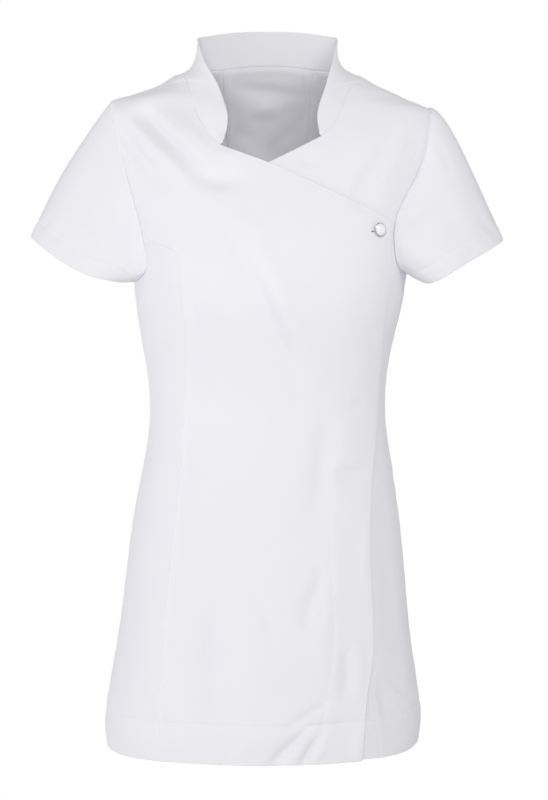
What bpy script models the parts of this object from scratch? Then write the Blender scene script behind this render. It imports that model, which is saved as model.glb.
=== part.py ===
"""Short-sleeved wrap-front tunic for a beautician, filled out as if worn. Metres, +Z up.

The front faces -Y and the wearer's left side is at +X. The origin lies on the midline at the
height of the two shoulder-neck points, where the wearer's shoulders carry the cloth.
"""

import math

import bmesh
import bpy
import numpy as np

# Thickness of the walls, and the clearances at their seams
CLOTH = 0.0012
COLLAR_CLOTH = 0.0016
HALF_GAP = 0.0002
SEAM_STEP = 0.0003
MITRE_LIMIT = 0.45

# The upper front rises by LAYER over the under front, starting at LAYER_FROM_X from the midline
LAYER = 0.0024
LAYER_FROM_X = -0.045
LAYER_OVER = 0.045

# It rises once more over its own placket, which lies behind the wrap edge
PLACKET_WIDTH = 0.050
PLACKET_STEP = 0.008
PLACKET_LAYER = 0.0020
PLACKET_DROP = 0.0023
PLACKET_SHARE = 0.97
PLACKET_ABOVE_HEM = 0.002
PLACKET_BELOW_CORNER = 0.004

# The under front drops by UNDER_DROP, from HIDDEN_FROM inside the edges of the upper front
UNDER_DROP = 0.0045
HIDDEN_FROM = 0.004
HIDDEN_OVER = 0.026

# Driving heights
HEM = -0.7760
RIGHT_SHOULDER = -0.0305
LEFT_SHOULDER = -0.0370

# Rows and columns of the walls
LOW_ROWS = 20
DIAGONAL_ROWS = 8
NECK_ROWS = 6
BACK_SCYE_ROWS = 15
BACK_NECK_ROWS = 3
SIDE_COLUMNS = 5
WRAP_COLUMNS = 15
UNDER_COLUMNS = 13
BACK_COLUMNS = 8
SIDE_BACK_COLUMNS = 7
SLEEVE_RINGS = 7
COLLAR_RINGS = 4
EDGE_SAMPLES = 400
WIDTH_SAMPLES = 24
ANGLE_SAMPLES = 720

# Rows over which the placket's step fades out at the top corner, and over which a panel's rows
# follow its shaped top edge
PLACKET_TOP_ROW = LOW_ROWS + 2
PLACKET_FADE_ROWS = 3
SHAPED_ROWS = 5

# Distances from the wrap edge of the columns that carry the placket's step, and the most of a
# row's width that they take
STRIP = (0.058, 0.050, 0.042, 0.028, 0.014, 0.0)
STRIP_LIMIT = 0.30

# Steps of angle and height for the body's normals, and the angle that parts a wall's faces
ANGLE_STEP = 0.004
HEIGHT_STEP = 0.0008
SHARP = math.radians(45)
SAME = 1e-9

# How square the body's sections are: 0 is an ellipse
SQUARENESS = 0.02

# Sections of the body: height, wearer's right half width, left half width, front depth, back depth
BODY = (
    (-0.782, 0.1830, 0.1728, 0.140, 0.134),
    (-0.746, 0.1846, 0.1752, 0.140, 0.135),
    (-0.700, 0.1798, 0.1715, 0.138, 0.135),
    (-0.608, 0.1658, 0.1605, 0.131, 0.131),
    (-0.516, 0.1547, 0.1524, 0.121, 0.117),
    (-0.447, 0.1412, 0.1430, 0.111, 0.099),
    (-0.378, 0.1340, 0.1351, 0.107, 0.088),
    (-0.320, 0.1405, 0.1415, 0.117, 0.093),
    (-0.263, 0.1501, 0.1545, 0.131, 0.103),
    (-0.225, 0.1540, 0.1600, 0.131, 0.106),
    (-0.170, 0.1670, 0.1720, 0.119, 0.106),
    (-0.120, 0.1830, 0.1890, 0.101, 0.101),
    (-0.075, 0.1925, 0.1990, 0.079, 0.092),
    (-0.048, 0.1930, 0.1960, 0.061, 0.083),
    (-0.0370, 0.1880, 0.1850, 0.054, 0.079),
    (-0.0305, 0.1800, 0.1685, 0.050, 0.076),
    (-0.0213, 0.1482, 0.1483, 0.044, 0.072),
    (-0.0121, 0.1225, 0.1276, 0.038, 0.068),
    (-0.0029, 0.1075, 0.1110, 0.032, 0.064),
    (0.0063, 0.0935, 0.0990, 0.027, 0.061),
    (0.0180, 0.0870, 0.0940, 0.022, 0.059),
)

# How far the hem rises above its height, by degrees round from the middle of the front
HEM_RISE = (
    (-180, 0.0000),
    (-135, 0.0030),
    (-90, 0.0090),
    (-75, 0.0065),
    (-54, 0.0026),
    (-35, 0.0013),
    (0, -0.0005),
    (25, 0.0015),
    (45, 0.0042),
    (60, 0.0064),
    (75, 0.0112),
    (90, 0.0140),
    (135, 0.0050),
    (180, 0.0000),
)
HEM_RISE_FROM = -0.640

# Princess seams: height, distance from the midline
FRONT_PRINCESS = (
    (-0.782, 0.1270),
    (-0.692, 0.1178),
    (-0.600, 0.1100),
    (-0.496, 0.0990),
    (-0.400, 0.0925),
    (-0.330, 0.0898),
    (-0.270, 0.0900),
    (-0.231, 0.0952),
    (-0.2150, 0.0985),
    (-0.2035, 0.1085),
)
BACK_PRINCESS = (
    (-0.782, 0.0900),
    (-0.600, 0.0760),
    (-0.480, 0.0590),
    (-0.378, 0.0500),
    (-0.260, 0.0490),
    (-0.150, 0.0470),
    (-0.070, 0.0485),
    (0.000, 0.0525),
)

# Armholes: height, share of the half width, from the armpit to the shoulder point.
# The back's first and last heights are those of the front that it meets.
FRONT_SCYE_RIGHT = (
    (-0.2380, 1.000),
    (-0.2350, 0.940),
    (-0.2265, 0.885),
    (-0.2051, 0.866),
    (-0.1769, 0.862),
    (-0.1327, 0.860),
    (-0.0863, 0.874),
    (-0.0540, 0.905),
    (-0.0400, 0.940),
    (RIGHT_SHOULDER, 1.000),
)
FRONT_SCYE_LEFT = (
    (-0.2280, 1.000),
    (-0.2245, 0.950),
    (-0.2120, 0.900),
    (-0.1960, 0.868),
    (-0.1760, 0.845),
    (-0.1450, 0.862),
    (-0.1156, 0.897),
    (-0.0805, 0.910),
    (-0.0600, 0.925),
    (-0.0463, 0.950),
    (LEFT_SHOULDER, 1.000),
)
BACK_SCYE = (
    (-0.219, 0.945),
    (-0.198, 0.905),
    (-0.170, 0.885),
    (-0.130, 0.882),
    (-0.090, 0.900),
    (-0.065, 0.925),
    (-0.048, 0.960),
)
# Share of the way up the front armhole at which the princess seam meets it
SCYE_JOIN = 0.36
# Width that stands for a whole half width where an armhole's length is measured
SCYE_SPREAD = 0.25

# Wrap edge of the upper front, from the hem to its top corner: height, distance from the midline
WRAP_EDGE = (
    (-0.782, 0.1075),
    (-0.745, 0.1105),
    (-0.700, 0.1130),
    (-0.660, 0.1180),
    (-0.620, 0.1185),
    (-0.550, 0.1155),
    (-0.480, 0.1170),
    (-0.412, 0.1235),
    (-0.330, 0.1290),
    (-0.265, 0.1335),
    (-0.210, 0.1365),
    (-0.1731, 0.1372),
)
# Top edge of the upper front, from that corner to the collar's end: distance from the midline, height
WRAP_TOP = (
    (0.1372, -0.1731),
    (0.1235, -0.1655),
    (0.1075, -0.1573),
    (0.0711, -0.1405),
    (0.0203, -0.1168),
    (0.0002, -0.1078),
    (-0.0280, -0.0965),
    (-0.0513, -0.0873),
)
# Hidden side edge and hem of the under front
UNDER_EDGE_X = -0.030
UNDER_HEM = -0.7720
# Top edge of the under front: distance from the midline, height
UNDER_TOP = (
    (-0.0300, -0.1215),
    (0.0002, -0.1078),
    (0.0300, -0.0928),
    (0.0600, -0.0768),
)

# Neck seam on the fronts, from the collar's end to the shoulder seam: distance from the midline, height
NECK_RIGHT = (
    (-0.0513, -0.0873),
    (-0.0627, -0.0755),
    (-0.0731, -0.0598),
    (-0.0795, -0.0480),
    (-0.0826, -0.0389),
    (-0.0876, -0.0198),
    (-0.0920, -0.0080),
)
NECK_LEFT = (
    (0.0600, -0.0768),
    (0.0721, -0.0670),
    (0.0800, -0.0540),
    (0.0860, -0.0410),
    (0.0905, -0.0290),
    (0.0945, -0.0185),
    (0.0982, -0.0100),
)
# Neck seam on the back: degrees round from the middle of the front, height. The last row is the
# top of the back's princess seam.
NECK_BACK = (
    (92, 0.0000),
    (115, 0.0060),
    (146, 0.0110),
)
NAPE_HEIGHT = 0.0165

# Free edge of the collar: share of the way round, x, y, z
COLLAR_EDGE = (
    (0.000, -0.0500, -0.0860, -0.0845),
    (0.050, -0.0454, -0.0760, -0.0691),
    (0.100, -0.0444, -0.0690, -0.0516),
    (0.150, -0.0479, -0.0600, -0.0372),
    (0.200, -0.0537, -0.0490, -0.0203),
    (0.250, -0.0619, -0.0370, -0.0032),
    (0.300, -0.0725, -0.0200, 0.0157),
    (0.345, -0.0800, 0.0080, 0.0400),
    (0.390, -0.0760, 0.0340, 0.0480),
    (0.440, -0.0430, 0.0520, 0.0550),
    (0.500, 0.0000, 0.0570, 0.0570),
    (0.560, 0.0430, 0.0520, 0.0550),
    (0.610, 0.0760, 0.0340, 0.0480),
    (0.655, 0.0815, 0.0080, 0.0400),
    (0.700, 0.0772, -0.0180, 0.0173),
    (0.750, 0.0712, -0.0330, -0.0015),
    (0.800, 0.0665, -0.0440, -0.0173),
    (0.850, 0.0607, -0.0560, -0.0343),
    (0.900, 0.0572, -0.0650, -0.0487),
    (0.950, 0.0576, -0.0720, -0.0615),
    (1.000, 0.0598, -0.0790, -0.0740),
)
COLLAR_BOW = 0.0015

# Cuffs: share of the way round from the underarm, x, y, z
CUFF_RIGHT = (
    (0.00, -0.1830, 0.0120, -0.2340),
    (0.07, -0.1690, -0.0300, -0.2390),
    (0.14, -0.1730, -0.0520, -0.2392),
    (0.25, -0.2030, -0.0580, -0.2322),
    (0.34, -0.2290, -0.0480, -0.2190),
    (0.42, -0.2529, -0.0300, -0.2021),
    (0.50, -0.2712, 0.0000, -0.1868),
    (0.60, -0.2640, 0.0350, -0.1870),
    (0.75, -0.2180, 0.0600, -0.2010),
    (0.90, -0.1880, 0.0480, -0.2180),
)
CUFF_LEFT = (
    (0.00, 0.1850, 0.0120, -0.2230),
    (0.07, 0.1750, -0.0280, -0.2340),
    (0.14, 0.1822, -0.0510, -0.2415),
    (0.25, 0.2127, -0.0570, -0.2271),
    (0.34, 0.2340, -0.0450, -0.2140),
    (0.42, 0.2541, -0.0300, -0.2021),
    (0.50, 0.2712, 0.0000, -0.1903),
    (0.60, 0.2640, 0.0350, -0.1910),
    (0.75, 0.2180, 0.0600, -0.2040),
    (0.90, 0.1890, 0.0480, -0.2150),
)
# Fullness of the sleeves: share of the way round, right bulge, left bulge
SLEEVE_BULGE = (
    (0.00, 0.000, 0.000),
    (0.14, 0.003, 0.003),
    (0.28, 0.006, 0.006),
    (0.42, 0.005, 0.009),
    (0.50, 0.0048, 0.0105),
    (0.60, 0.006, 0.010),
    (0.75, 0.008, 0.009),
    (0.88, 0.003, 0.003),
    (1.00, 0.000, 0.000),
)

# How early the fullness comes below the armhole: a smaller power brings it nearer
BULGE_LEAN = {"right": 0.75, "left": 0.45}
# Share of the sleeve's length that gives its direction at the armhole
SLEEVE_START = 0.1

# Depth of a fold at its ends, as a share of its depth halfway along, and the cosine of the angle
# over which folds fade out towards the side seams
FOLD_ENDS = 0.55
FOLD_FADE = 0.25

# Largest folds: x and z of each end, half width, depth (a trough is negative)
FRONT_FOLDS = (
    (-0.1660, -0.066, -0.1190, -0.134, 0.0075, -0.0030),
    (-0.1500, -0.062, -0.0880, -0.128, 0.0090, 0.0030),
    (-0.1320, -0.056, -0.0760, -0.120, 0.0090, -0.0032),
    (-0.0760, -0.125, -0.0330, -0.129, 0.0110, -0.0040),
    (-0.1150, -0.044, -0.0560, -0.100, 0.0085, 0.0020),
    (0.1480, -0.072, 0.1030, -0.150, 0.0120, -0.0028),
    (-0.0420, -0.190, 0.0350, -0.345, 0.0140, -0.0022),
    (-0.0180, -0.180, 0.0580, -0.345, 0.0150, 0.0022),
    (0.0650, -0.400, 0.0600, -0.500, 0.0130, -0.0028),
    (0.0760, -0.468, 0.1080, -0.460, 0.0080, -0.0030),
    (-0.0600, -0.600, -0.0570, -0.740, 0.0160, -0.0040),
    (0.0440, -0.735, 0.0060, -0.784, 0.0060, -0.0040),
    (0.0540, -0.748, 0.0340, -0.784, 0.0050, -0.0035),
    (0.0850, -0.655, 0.0850, -0.705, 0.0060, -0.0018),
    (0.1330, -0.690, 0.1380, -0.740, 0.0120, -0.0030),
)
BACK_FOLDS = (
    (0.0100, -0.035, -0.0350, -0.022, 0.0100, -0.0022),
    (0.0350, -0.095, -0.0250, -0.070, 0.0110, 0.0022),
    (-0.1300, -0.090, -0.0800, -0.150, 0.0110, -0.0030),
    (0.1350, -0.095, 0.0850, -0.160, 0.0120, -0.0030),
    (-0.0950, -0.370, -0.0250, -0.392, 0.0110, -0.0034),
    (0.1000, -0.356, 0.0300, -0.378, 0.0120, -0.0034),
    (-0.0600, -0.560, -0.0680, -0.770, 0.0180, -0.0050),
    (0.0450, -0.600, 0.0520, -0.770, 0.0170, -0.0045),
    (0.1150, -0.610, 0.1260, -0.770, 0.0160, -0.0045),
    (-0.1250, -0.620, -0.1340, -0.770, 0.0160, -0.0045),
)

# Button on the top corner of the wrap: radius, height from its foot, by profile point
BUTTON_X = 0.1235
BUTTON_HEIGHT = -0.1828
BUTTON_LIFT = 0.0004
BUTTON_SIDES = 24
BUTTON_PROFILE = (
    (0.0030, 0.0000),
    (0.0030, 0.0014),
    (0.0071, 0.0014),
    (0.0075, 0.0022),
    (0.0071, 0.0031),
    (0.0056, 0.0042),
    (0.0032, 0.0049),
)

# Colour, roughness and metallic value of each material
WHITE_CLOTH = ("white_cloth", (0.84, 0.84, 0.87), 0.85, 0.0)
PEARL = ("pearl_button", (0.93, 0.93, 0.94), 0.15, 0.3)


def spline(rows):
    """Natural cubic spline through rows of (parameter, value, value, ...), as a function."""
    table = np.asarray(rows, float)
    order = np.argsort(table[:, 0])
    knots, values = table[order, 0], table[order, 1:]
    count, step = len(knots), np.diff(table[order, 0])
    system, load = np.eye(count), np.zeros(values.shape)
    for i in range(1, count - 1):
        system[i, i - 1 : i + 2] = step[i - 1], 2 * (step[i - 1] + step[i]), step[i]
        slopes = (values[i + 1] - values[i]) / step[i], (values[i] - values[i - 1]) / step[i - 1]
        load[i] = 6 * (slopes[0] - slopes[1])
    bend = np.linalg.solve(system, load)

    def at(parameter):
        t = np.clip(np.asarray(parameter, float), knots[0], knots[-1])
        i = np.clip(np.searchsorted(knots, t, side="right") - 1, 0, count - 2)
        width = step[i][..., None]
        after, before = (t - knots[i])[..., None], (knots[i + 1] - t)[..., None]
        cubic = (bend[i] * before**3 + bend[i + 1] * after**3) / (6 * width)
        start = (values[i] / width - bend[i] * width / 6) * before
        end = (values[i + 1] / width - bend[i + 1] * width / 6) * after
        return cubic + start + end

    return at


def path(points):
    """The same spline through a list of points, by share of the way along its chords."""
    points = np.asarray(points, float)
    chords = np.linalg.norm(np.diff(points, axis=0), axis=1)
    share = np.concatenate([[0.0], np.cumsum(chords)]) / chords.sum()
    return spline(np.column_stack([share, points]))


def unit(vectors):
    return vectors / np.maximum(np.linalg.norm(vectors, axis=-1, keepdims=True), 1e-12)


def ease(value):
    """0 below 0, 1 above 1 and smooth between."""
    value = np.clip(value, 0.0, 1.0)
    return value * value * (3 - 2 * value)


body_section = spline(BODY)
hem_rise = spline(HEM_RISE)
SIDEWAYS = np.linspace(0.0, math.pi / 2, ANGLE_SAMPLES + 1)
REACH = (np.sin(SIDEWAYS) + SQUARENESS * np.sin(3 * SIDEWAYS)) / (1 - SQUARENESS)


def fold_depth(x, z, folds):
    """How far the folds push the cloth out at x and z."""
    depth = np.zeros(np.shape(x))
    for x0, z0, x1, z1, width, height in folds:
        along = ((x - x0) * (x1 - x0) + (z - z0) * (z1 - z0)) / ((x1 - x0) ** 2 + (z1 - z0) ** 2)
        share = np.clip(along, 0.0, 1.0)
        away = np.hypot(x - x0 - share * (x1 - x0), z - z0 - share * (z1 - z0))
        full = FOLD_ENDS + (1 - FOLD_ENDS) * np.sin(math.pi * share)
        depth += height * full * np.exp(-((away / width) ** 2))
    return depth


def smooth_body(angle, height):
    """The body without folds. Angle 0 is the middle of the front, +90 degrees the wearer's left side."""
    section = body_section(height)
    sine, cosine = np.sin(angle), np.cos(angle)
    half = np.where(sine < 0, section[..., 0], section[..., 1])
    deep = np.where(cosine > 0, section[..., 2], section[..., 3])
    x = half * (sine + SQUARENESS * np.sin(3 * angle)) / (1 - SQUARENESS)
    y = -deep * (cosine - SQUARENESS * np.cos(3 * angle)) / (1 - SQUARENESS)
    turn = np.degrees((angle + math.pi) % (2 * math.pi) - math.pi)
    rise = hem_rise(turn)[..., 0] * ease((HEM_RISE_FROM - height) / (HEM_RISE_FROM - HEM))
    return np.stack([x, y, height + rise], axis=-1)


def normals(surface, angle, height):
    """Outward normals of a surface given by angle and height."""
    across = surface(angle + ANGLE_STEP, height) - surface(angle - ANGLE_STEP, height)
    up = surface(angle, height + HEIGHT_STEP) - surface(angle, height - HEIGHT_STEP)
    return unit(np.cross(across, up))


def folds(plain, angle):
    """How far the front's and the back's folds push the cloth out."""
    forward = np.cos(angle) / FOLD_FADE
    front = fold_depth(plain[..., 0], plain[..., 2], FRONT_FOLDS) * ease(forward)
    return front + fold_depth(plain[..., 0], plain[..., 2], BACK_FOLDS) * ease(-forward)


def body(angle, height, hidden=0.0):
    """The body's outer face with its folds, which fade and drop where hidden rises to 1."""
    angle, height = np.broadcast_arrays(np.asarray(angle, float), np.asarray(height, float))
    plain = smooth_body(angle, height)
    out = folds(plain, angle) * (1 - hidden) - UNDER_DROP * hidden
    return plain + normals(smooth_body, angle, height) * out[..., None]


def angle_of_share(share, side, back=False):
    """The angle at which the body reaches this share of its half width."""
    angle = np.interp(np.abs(share), REACH, SIDEWAYS)
    return side * (math.pi - angle if back else angle)


def angle_at(x, height, back=False):
    section = body_section(height)
    half = np.where(np.asarray(x) < 0, section[..., 0], section[..., 1])
    return angle_of_share(x / half, np.where(np.asarray(x) < 0, -1, 1), back)


def shares(count):
    return np.linspace(0.0, 1.0, count + 1)


def edge_from_heights(rows, side, low, high, count, back=False):
    """Angle and height of an edge that a table gives by height and distance from the midline."""
    height = low + (high - low) * shares(count)
    return np.column_stack([angle_at(side * spline(rows)(height)[:, 0], height, back), height])


def edge_from_points(rows, count, back=False):
    """Angle and height of an edge that a table gives by its points."""
    points = path(rows)(shares(count))
    return np.column_stack([angle_at(points[:, 0], points[:, 1], back), points[:, 1]])


def scye_edge(rows, side, start, end, count, back=False):
    """Angle and height along an armhole, from share start to share end of its way up."""
    points = path([(SCYE_SPREAD * share, height) for height, share in rows])(shares(EDGE_SAMPLES))
    angle = angle_of_share(np.clip(points[:, 0] / SCYE_SPREAD, 0, 1), side, back)
    return evenly(np.column_stack([angle, points[:, 1]]), count, start, end)


def joined(*stretches):
    """One edge from several that follow each other."""
    return np.concatenate([stretches[0], *[stretch[1:] for stretch in stretches[1:]]])


def evenly(edge, count, start=0.0, end=1.0):
    """An edge from share start to share end of its length, its points spaced evenly along the body."""
    steps = np.linalg.norm(np.diff(smooth_body(*edge.T), axis=0), axis=1)
    share = np.concatenate([[0.0], np.cumsum(steps)]) / steps.sum()
    wanted = start + (end - start) * shares(count)
    return np.column_stack([np.interp(wanted, share, edge[:, i]) for i in (0, 1)])


def side_edge(side, low, high, count):
    height = low + (high - low) * shares(count)
    return np.column_stack([np.full(count + 1, side * math.pi / 2), height])


def princess(side, back, top, count):
    """A princess seam from the hem up to top, which is an angle and a height."""
    rows = BACK_PRINCESS if back else FRONT_PRINCESS
    low = edge_from_heights(rows, side, HEM, rows[-1][0], 2 * LOW_ROWS, back)
    return evenly(path(np.concatenate([low, [top]]))(shares(EDGE_SAMPLES)), count)


def build_edges():
    """Every edge of the panels, as rows of angle and height."""
    edges = {}
    upper = DIAGONAL_ROWS + NECK_ROWS
    for name, side, rows in (("right", -1, FRONT_SCYE_RIGHT), ("left", 1, FRONT_SCYE_LEFT)):
        back_rows = rows[:1] + BACK_SCYE + rows[-1:]
        edges["side", name] = side_edge(side, HEM, rows[0][0], LOW_ROWS)
        edges["scye_low", name] = scye_edge(rows, side, 0.0, SCYE_JOIN, SIDE_COLUMNS)
        edges["scye_high", name] = scye_edge(rows, side, SCYE_JOIN, 1.0, upper)
        edges["scye_back", name] = scye_edge(back_rows, side, 0.0, 1.0, BACK_SCYE_ROWS, True)
        edges["front_princess", name] = princess(side, False, edges["scye_low", name][-1], LOW_ROWS)
        neck = NECK_RIGHT if side < 0 else NECK_LEFT
        edges["neck_front", name] = edge_from_points(neck, NECK_ROWS)
        seam_end = edges["neck_front", name][-1]
        nape = np.array([side * math.pi, NAPE_HEIGHT])
        behind = [[side * math.radians(turn), height] for turn, height in NECK_BACK]
        corner = np.array(behind[-1])
        around = path([seam_end, *behind])
        edges["neck_back", name] = evenly(around(shares(EDGE_SAMPLES)), BACK_NECK_ROWS)
        edges["neck_nape", name] = corner + (nape - corner) * shares(BACK_COLUMNS // 2)[:, None]
        rows_up = LOW_ROWS + BACK_SCYE_ROWS - BACK_NECK_ROWS
        edges["back_princess", name] = princess(side, True, corner, rows_up)
    edges["wrap_edge"] = edge_from_heights(WRAP_EDGE, 1, HEM, WRAP_EDGE[-1][0], LOW_ROWS)
    edges["wrap_top"] = edge_from_points(WRAP_TOP, DIAGONAL_ROWS)
    height = UNDER_HEM + (UNDER_TOP[0][1] - UNDER_HEM) * shares(LOW_ROWS)
    edges["under_edge"] = np.column_stack([angle_at(UNDER_EDGE_X, height), height])
    edges["under_top"] = edge_from_points(UNDER_TOP, DIAGONAL_ROWS)
    return edges


EDGES = build_edges()
wrap_edge = spline(WRAP_EDGE)
wrap_top = spline(WRAP_TOP)


def wrap_lift(points, from_edge, row_share):
    """How far the upper front lies above the body: over the under front, and over its own placket."""
    lift = LAYER * ease((points[..., 0] - LAYER_FROM_X) / LAYER_OVER)
    return lift + PLACKET_LAYER * ease((PLACKET_WIDTH - from_edge) / PLACKET_STEP) * row_share


def under_wrap(angle, height):
    """0 where a lower layer shows and 1 well under the upper front."""
    plain = smooth_body(angle, height)
    side = wrap_edge(height)[..., 0] - plain[..., 0]
    top = wrap_top(plain[..., 0])[..., 0] - height
    inside = np.minimum(side, top)
    return ease((inside - HIDDEN_FROM) / HIDDEN_OVER) * (np.cos(angle) > 0)


def across(first, last, columns):
    """Angles and heights of a panel's grid between two edges, columns being shares of the way."""
    columns = np.asarray(columns, float)
    if columns.ndim == 1:
        columns = np.broadcast_to(columns, (len(first), len(columns)))
    return first[:, None, :] + (last - first)[:, None, :] * columns[..., None]


def inset(points):
    """Draws a panel's points in by half a seam's gap, square to each of its edges."""
    points = points.copy()
    for grid in (points, points.transpose(1, 0, 2)):
        for at, inner in ((0, 1), (-1, -2)):
            along = unit(np.gradient(grid[at], axis=0))
            inward = grid[inner] - grid[at]
            square = inward - np.sum(inward * along, axis=-1, keepdims=True) * along
            grid[at] += unit(square) * HALF_GAP
    return points


def cuff_loop(rows):
    """A closed smooth loop through the cuff's points, by share of the way round."""
    table = np.asarray(rows, float)
    before, after = table[-3:].copy(), table[:4].copy()
    before[:, 0] -= 1
    after[:, 0] += 1
    return spline(np.concatenate([before, table, after]))


CUFFS = {"right": cuff_loop(CUFF_RIGHT), "left": cuff_loop(CUFF_LEFT)}
sleeve_bulge = spline(SLEEVE_BULGE)


def armhole(name):
    """The armhole as one closed run of angles and heights, with each point's share of the way round."""
    low, high, rear = (EDGES[part, name] for part in ("scye_low", "scye_high", "scye_back"))
    run = joined(low, high, rear[::-1])[:-1]
    span = [np.linalg.norm(np.diff(body(*part.T), axis=0), axis=1) for part in (joined(low, high), rear)]
    front = np.concatenate([[0.0], np.cumsum(span[0])]) / span[0].sum() / 2
    back = 1 - np.concatenate([[0.0], np.cumsum(span[1])]) / span[1].sum() / 2
    return run, np.concatenate([front, back[::-1][1:-1]])


def sleeve_point(name, run, share, t):
    """A point of the sleeve, t of the way from the armhole to the cuff."""
    start, end = body(*run.T), CUFFS[name](share)
    middle = CUFFS[name](shares(8)[:-1]).mean(axis=0)
    out = unit(end - middle)
    bulge = sleeve_bulge(share)[..., 0 if name == "right" else 1][..., None]
    return start + (end - start) * t + out * bulge * np.sin(math.pi * t ** BULGE_LEAN[name])


def seam_direction(body_normal, along, away):
    """Mitre of two walls at a seam: its direction, lengthened so that both keep their thickness."""
    other = unit(np.cross(along, away))
    mitre = unit(body_normal + other)
    return mitre / np.clip(np.sum(mitre * body_normal, axis=-1, keepdims=True), MITRE_LIMIT, 1.0)


def armhole_mitre(name):
    """Directions of the wall at the armhole, by angle and height, shared by body and sleeve."""
    run, share = armhole(name)
    ring = sleeve_point(name, run, share, 0.0)
    along = np.roll(ring, -1, axis=0) - np.roll(ring, 1, axis=0)
    away = sleeve_point(name, run, share, SLEEVE_START) - ring
    flip = -1 if name == "left" else 1
    return run, seam_direction(normals(body, *run.T), flip * along, away)


def neck_run():
    """The neck seam from the collar's right end round the back to its left end."""
    right = joined(EDGES["neck_front", "right"], EDGES["neck_back", "right"], EDGES["neck_nape", "right"])
    left = joined(EDGES["neck_front", "left"], EDGES["neck_back", "left"], EDGES["neck_nape", "left"])
    left = left[:-1][::-1]
    run = np.concatenate([right, left])
    points = body(*run.T)
    span = np.concatenate([[0.0], np.cumsum(np.linalg.norm(np.diff(points, axis=0), axis=1))])
    return run, points, span / span[-1]


collar_edge = spline(COLLAR_EDGE)


def neck_mitre():
    """Directions of the wall at the neck seam, shared by body and collar."""
    run, points, share = neck_run()
    away = collar_edge(share) - points
    away[[0, -1]] = away[[1, -2]]
    along = np.gradient(points, axis=0)
    return run, seam_direction(normals(body, *run.T), -along, away)


MITRES = [armhole_mitre("right"), armhole_mitre("left"), neck_mitre()]


def wall_directions(grid):
    """Normals of a panel's grid, with the shared mitre where its edge lies on the armhole or neck seam."""
    directions = normals(body, grid[..., 0], grid[..., 1])
    rim = np.zeros(grid.shape[:2], bool)
    rim[[0, -1]] = rim[:, [0, -1]] = True
    for run, mitre in MITRES:
        apart = grid[..., None, :] - run
        apart[..., 0] = (apart[..., 0] + math.pi) % (2 * math.pi) - math.pi
        near = np.abs(apart).max(axis=-1)
        on_seam = rim & (near.min(axis=-1) < SAME)
        directions[on_seam] = mitre[near.argmin(axis=-1)[on_seam]]
    return directions


def material(name, colour, roughness, metallic):
    made = bpy.data.materials.get(name) or bpy.data.materials.new(name)
    made.use_nodes = True
    shader = made.node_tree.nodes["Principled BSDF"]
    shader.inputs["Base Color"].default_value = (*colour, 1.0)
    shader.inputs["Roughness"].default_value = roughness
    shader.inputs["Metallic"].default_value = metallic
    return made


def add_object(name, mesh, finish):
    mesh.materials.append(material(*finish))
    made = bpy.data.objects.new(name, mesh)
    bpy.context.scene.collection.objects.link(made)
    return made


def wall(name, outer, inner, closed=False):
    """A closed wall between an outer and an inner grid of points; closed joins last column to first."""
    rows, columns = outer.shape[:2]
    build = bmesh.new()
    faces = [[[build.verts.new(p) for p in row] for row in grid] for grid in (outer, inner)]
    spans = columns if closed else columns - 1
    for i in range(rows - 1):
        for j in range(spans):
            k = (j + 1) % columns
            for side, grid in enumerate(faces):
                corners = (grid[i][j], grid[i][k], grid[i + 1][k], grid[i + 1][j])
                build.faces.new(corners if side == 0 else corners[::-1])
    for j in range(spans):
        k = (j + 1) % columns
        for i in (0, rows - 1):
            build.faces.new((faces[0][i][j], faces[1][i][j], faces[1][i][k], faces[0][i][k]))
    for i in range(rows - 1):
        for j in () if closed else (0, columns - 1):
            build.faces.new((faces[0][i][j], faces[0][i + 1][j], faces[1][i + 1][j], faces[1][i][j]))
    bmesh.ops.recalc_face_normals(build, faces=build.faces)
    bmesh.ops.triangulate(build, faces=build.faces)
    mesh = bpy.data.meshes.new(name)
    build.to_mesh(mesh)
    build.free()
    mesh.shade_smooth()
    mesh.set_sharp_from_angle(angle=SHARP)
    return add_object(name, mesh, WHITE_CLOTH)


def panel(name, grid, lift=None, under=False):
    """A body panel's wall from its grid of angles and heights, raised by lift or dropped under the wrap."""
    directions = wall_directions(grid)
    hidden = under_wrap(grid[..., 0], grid[..., 1]) if under else 0.0
    outer = body(grid[..., 0], grid[..., 1], hidden)
    if lift is not None:
        outer = outer + unit(directions) * lift[..., None]
    outer = inset(outer)
    return wall(name, outer, outer - directions * CLOTH)


def make_front_right():
    """The upper front, which wraps across to the wearer's left, and the placket under its edge."""
    first = joined(EDGES["front_princess", "right"], EDGES["scye_high", "right"])
    last = joined(EDGES["wrap_edge"], EDGES["wrap_top"], EDGES["neck_front", "right"])
    spread = across(first, last, shares(WIDTH_SAMPLES))
    steps = np.diff(body(spread[..., 0], spread[..., 1]), axis=1)
    width = np.linalg.norm(steps, axis=2).sum(axis=1)
    limit = np.linspace(STRIP_LIMIT, 0.0, len(STRIP))
    strip_share = 1 - np.minimum(np.array(STRIP) / width[:, None], limit)
    main = shares(WRAP_COLUMNS)[:-1] * strip_share[:, :1]
    columns = np.concatenate([main, strip_share], axis=1)
    grid = across(first, last, columns)
    points = body(grid[..., 0], grid[..., 1])
    from_edge = (1 - columns) * width[:, None]
    fade = ease((PLACKET_TOP_ROW - np.arange(len(first))) / PLACKET_FADE_ROWS)
    lift = wrap_lift(points, from_edge, fade[:, None])
    panel("front_right", grid, lift)

    placket = grid[: LOW_ROWS + 1, -4:].copy()
    placket_lift = lift[: LOW_ROWS + 1, -4:] - PLACKET_DROP
    middle = placket.mean(axis=1, keepdims=True)
    placket = middle + (placket - middle) * PLACKET_SHARE
    placket[0, :, 1] += PLACKET_ABOVE_HEM
    placket[-1, :, 1] -= PLACKET_BELOW_CORNER
    panel("placket", placket, placket_lift)


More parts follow.
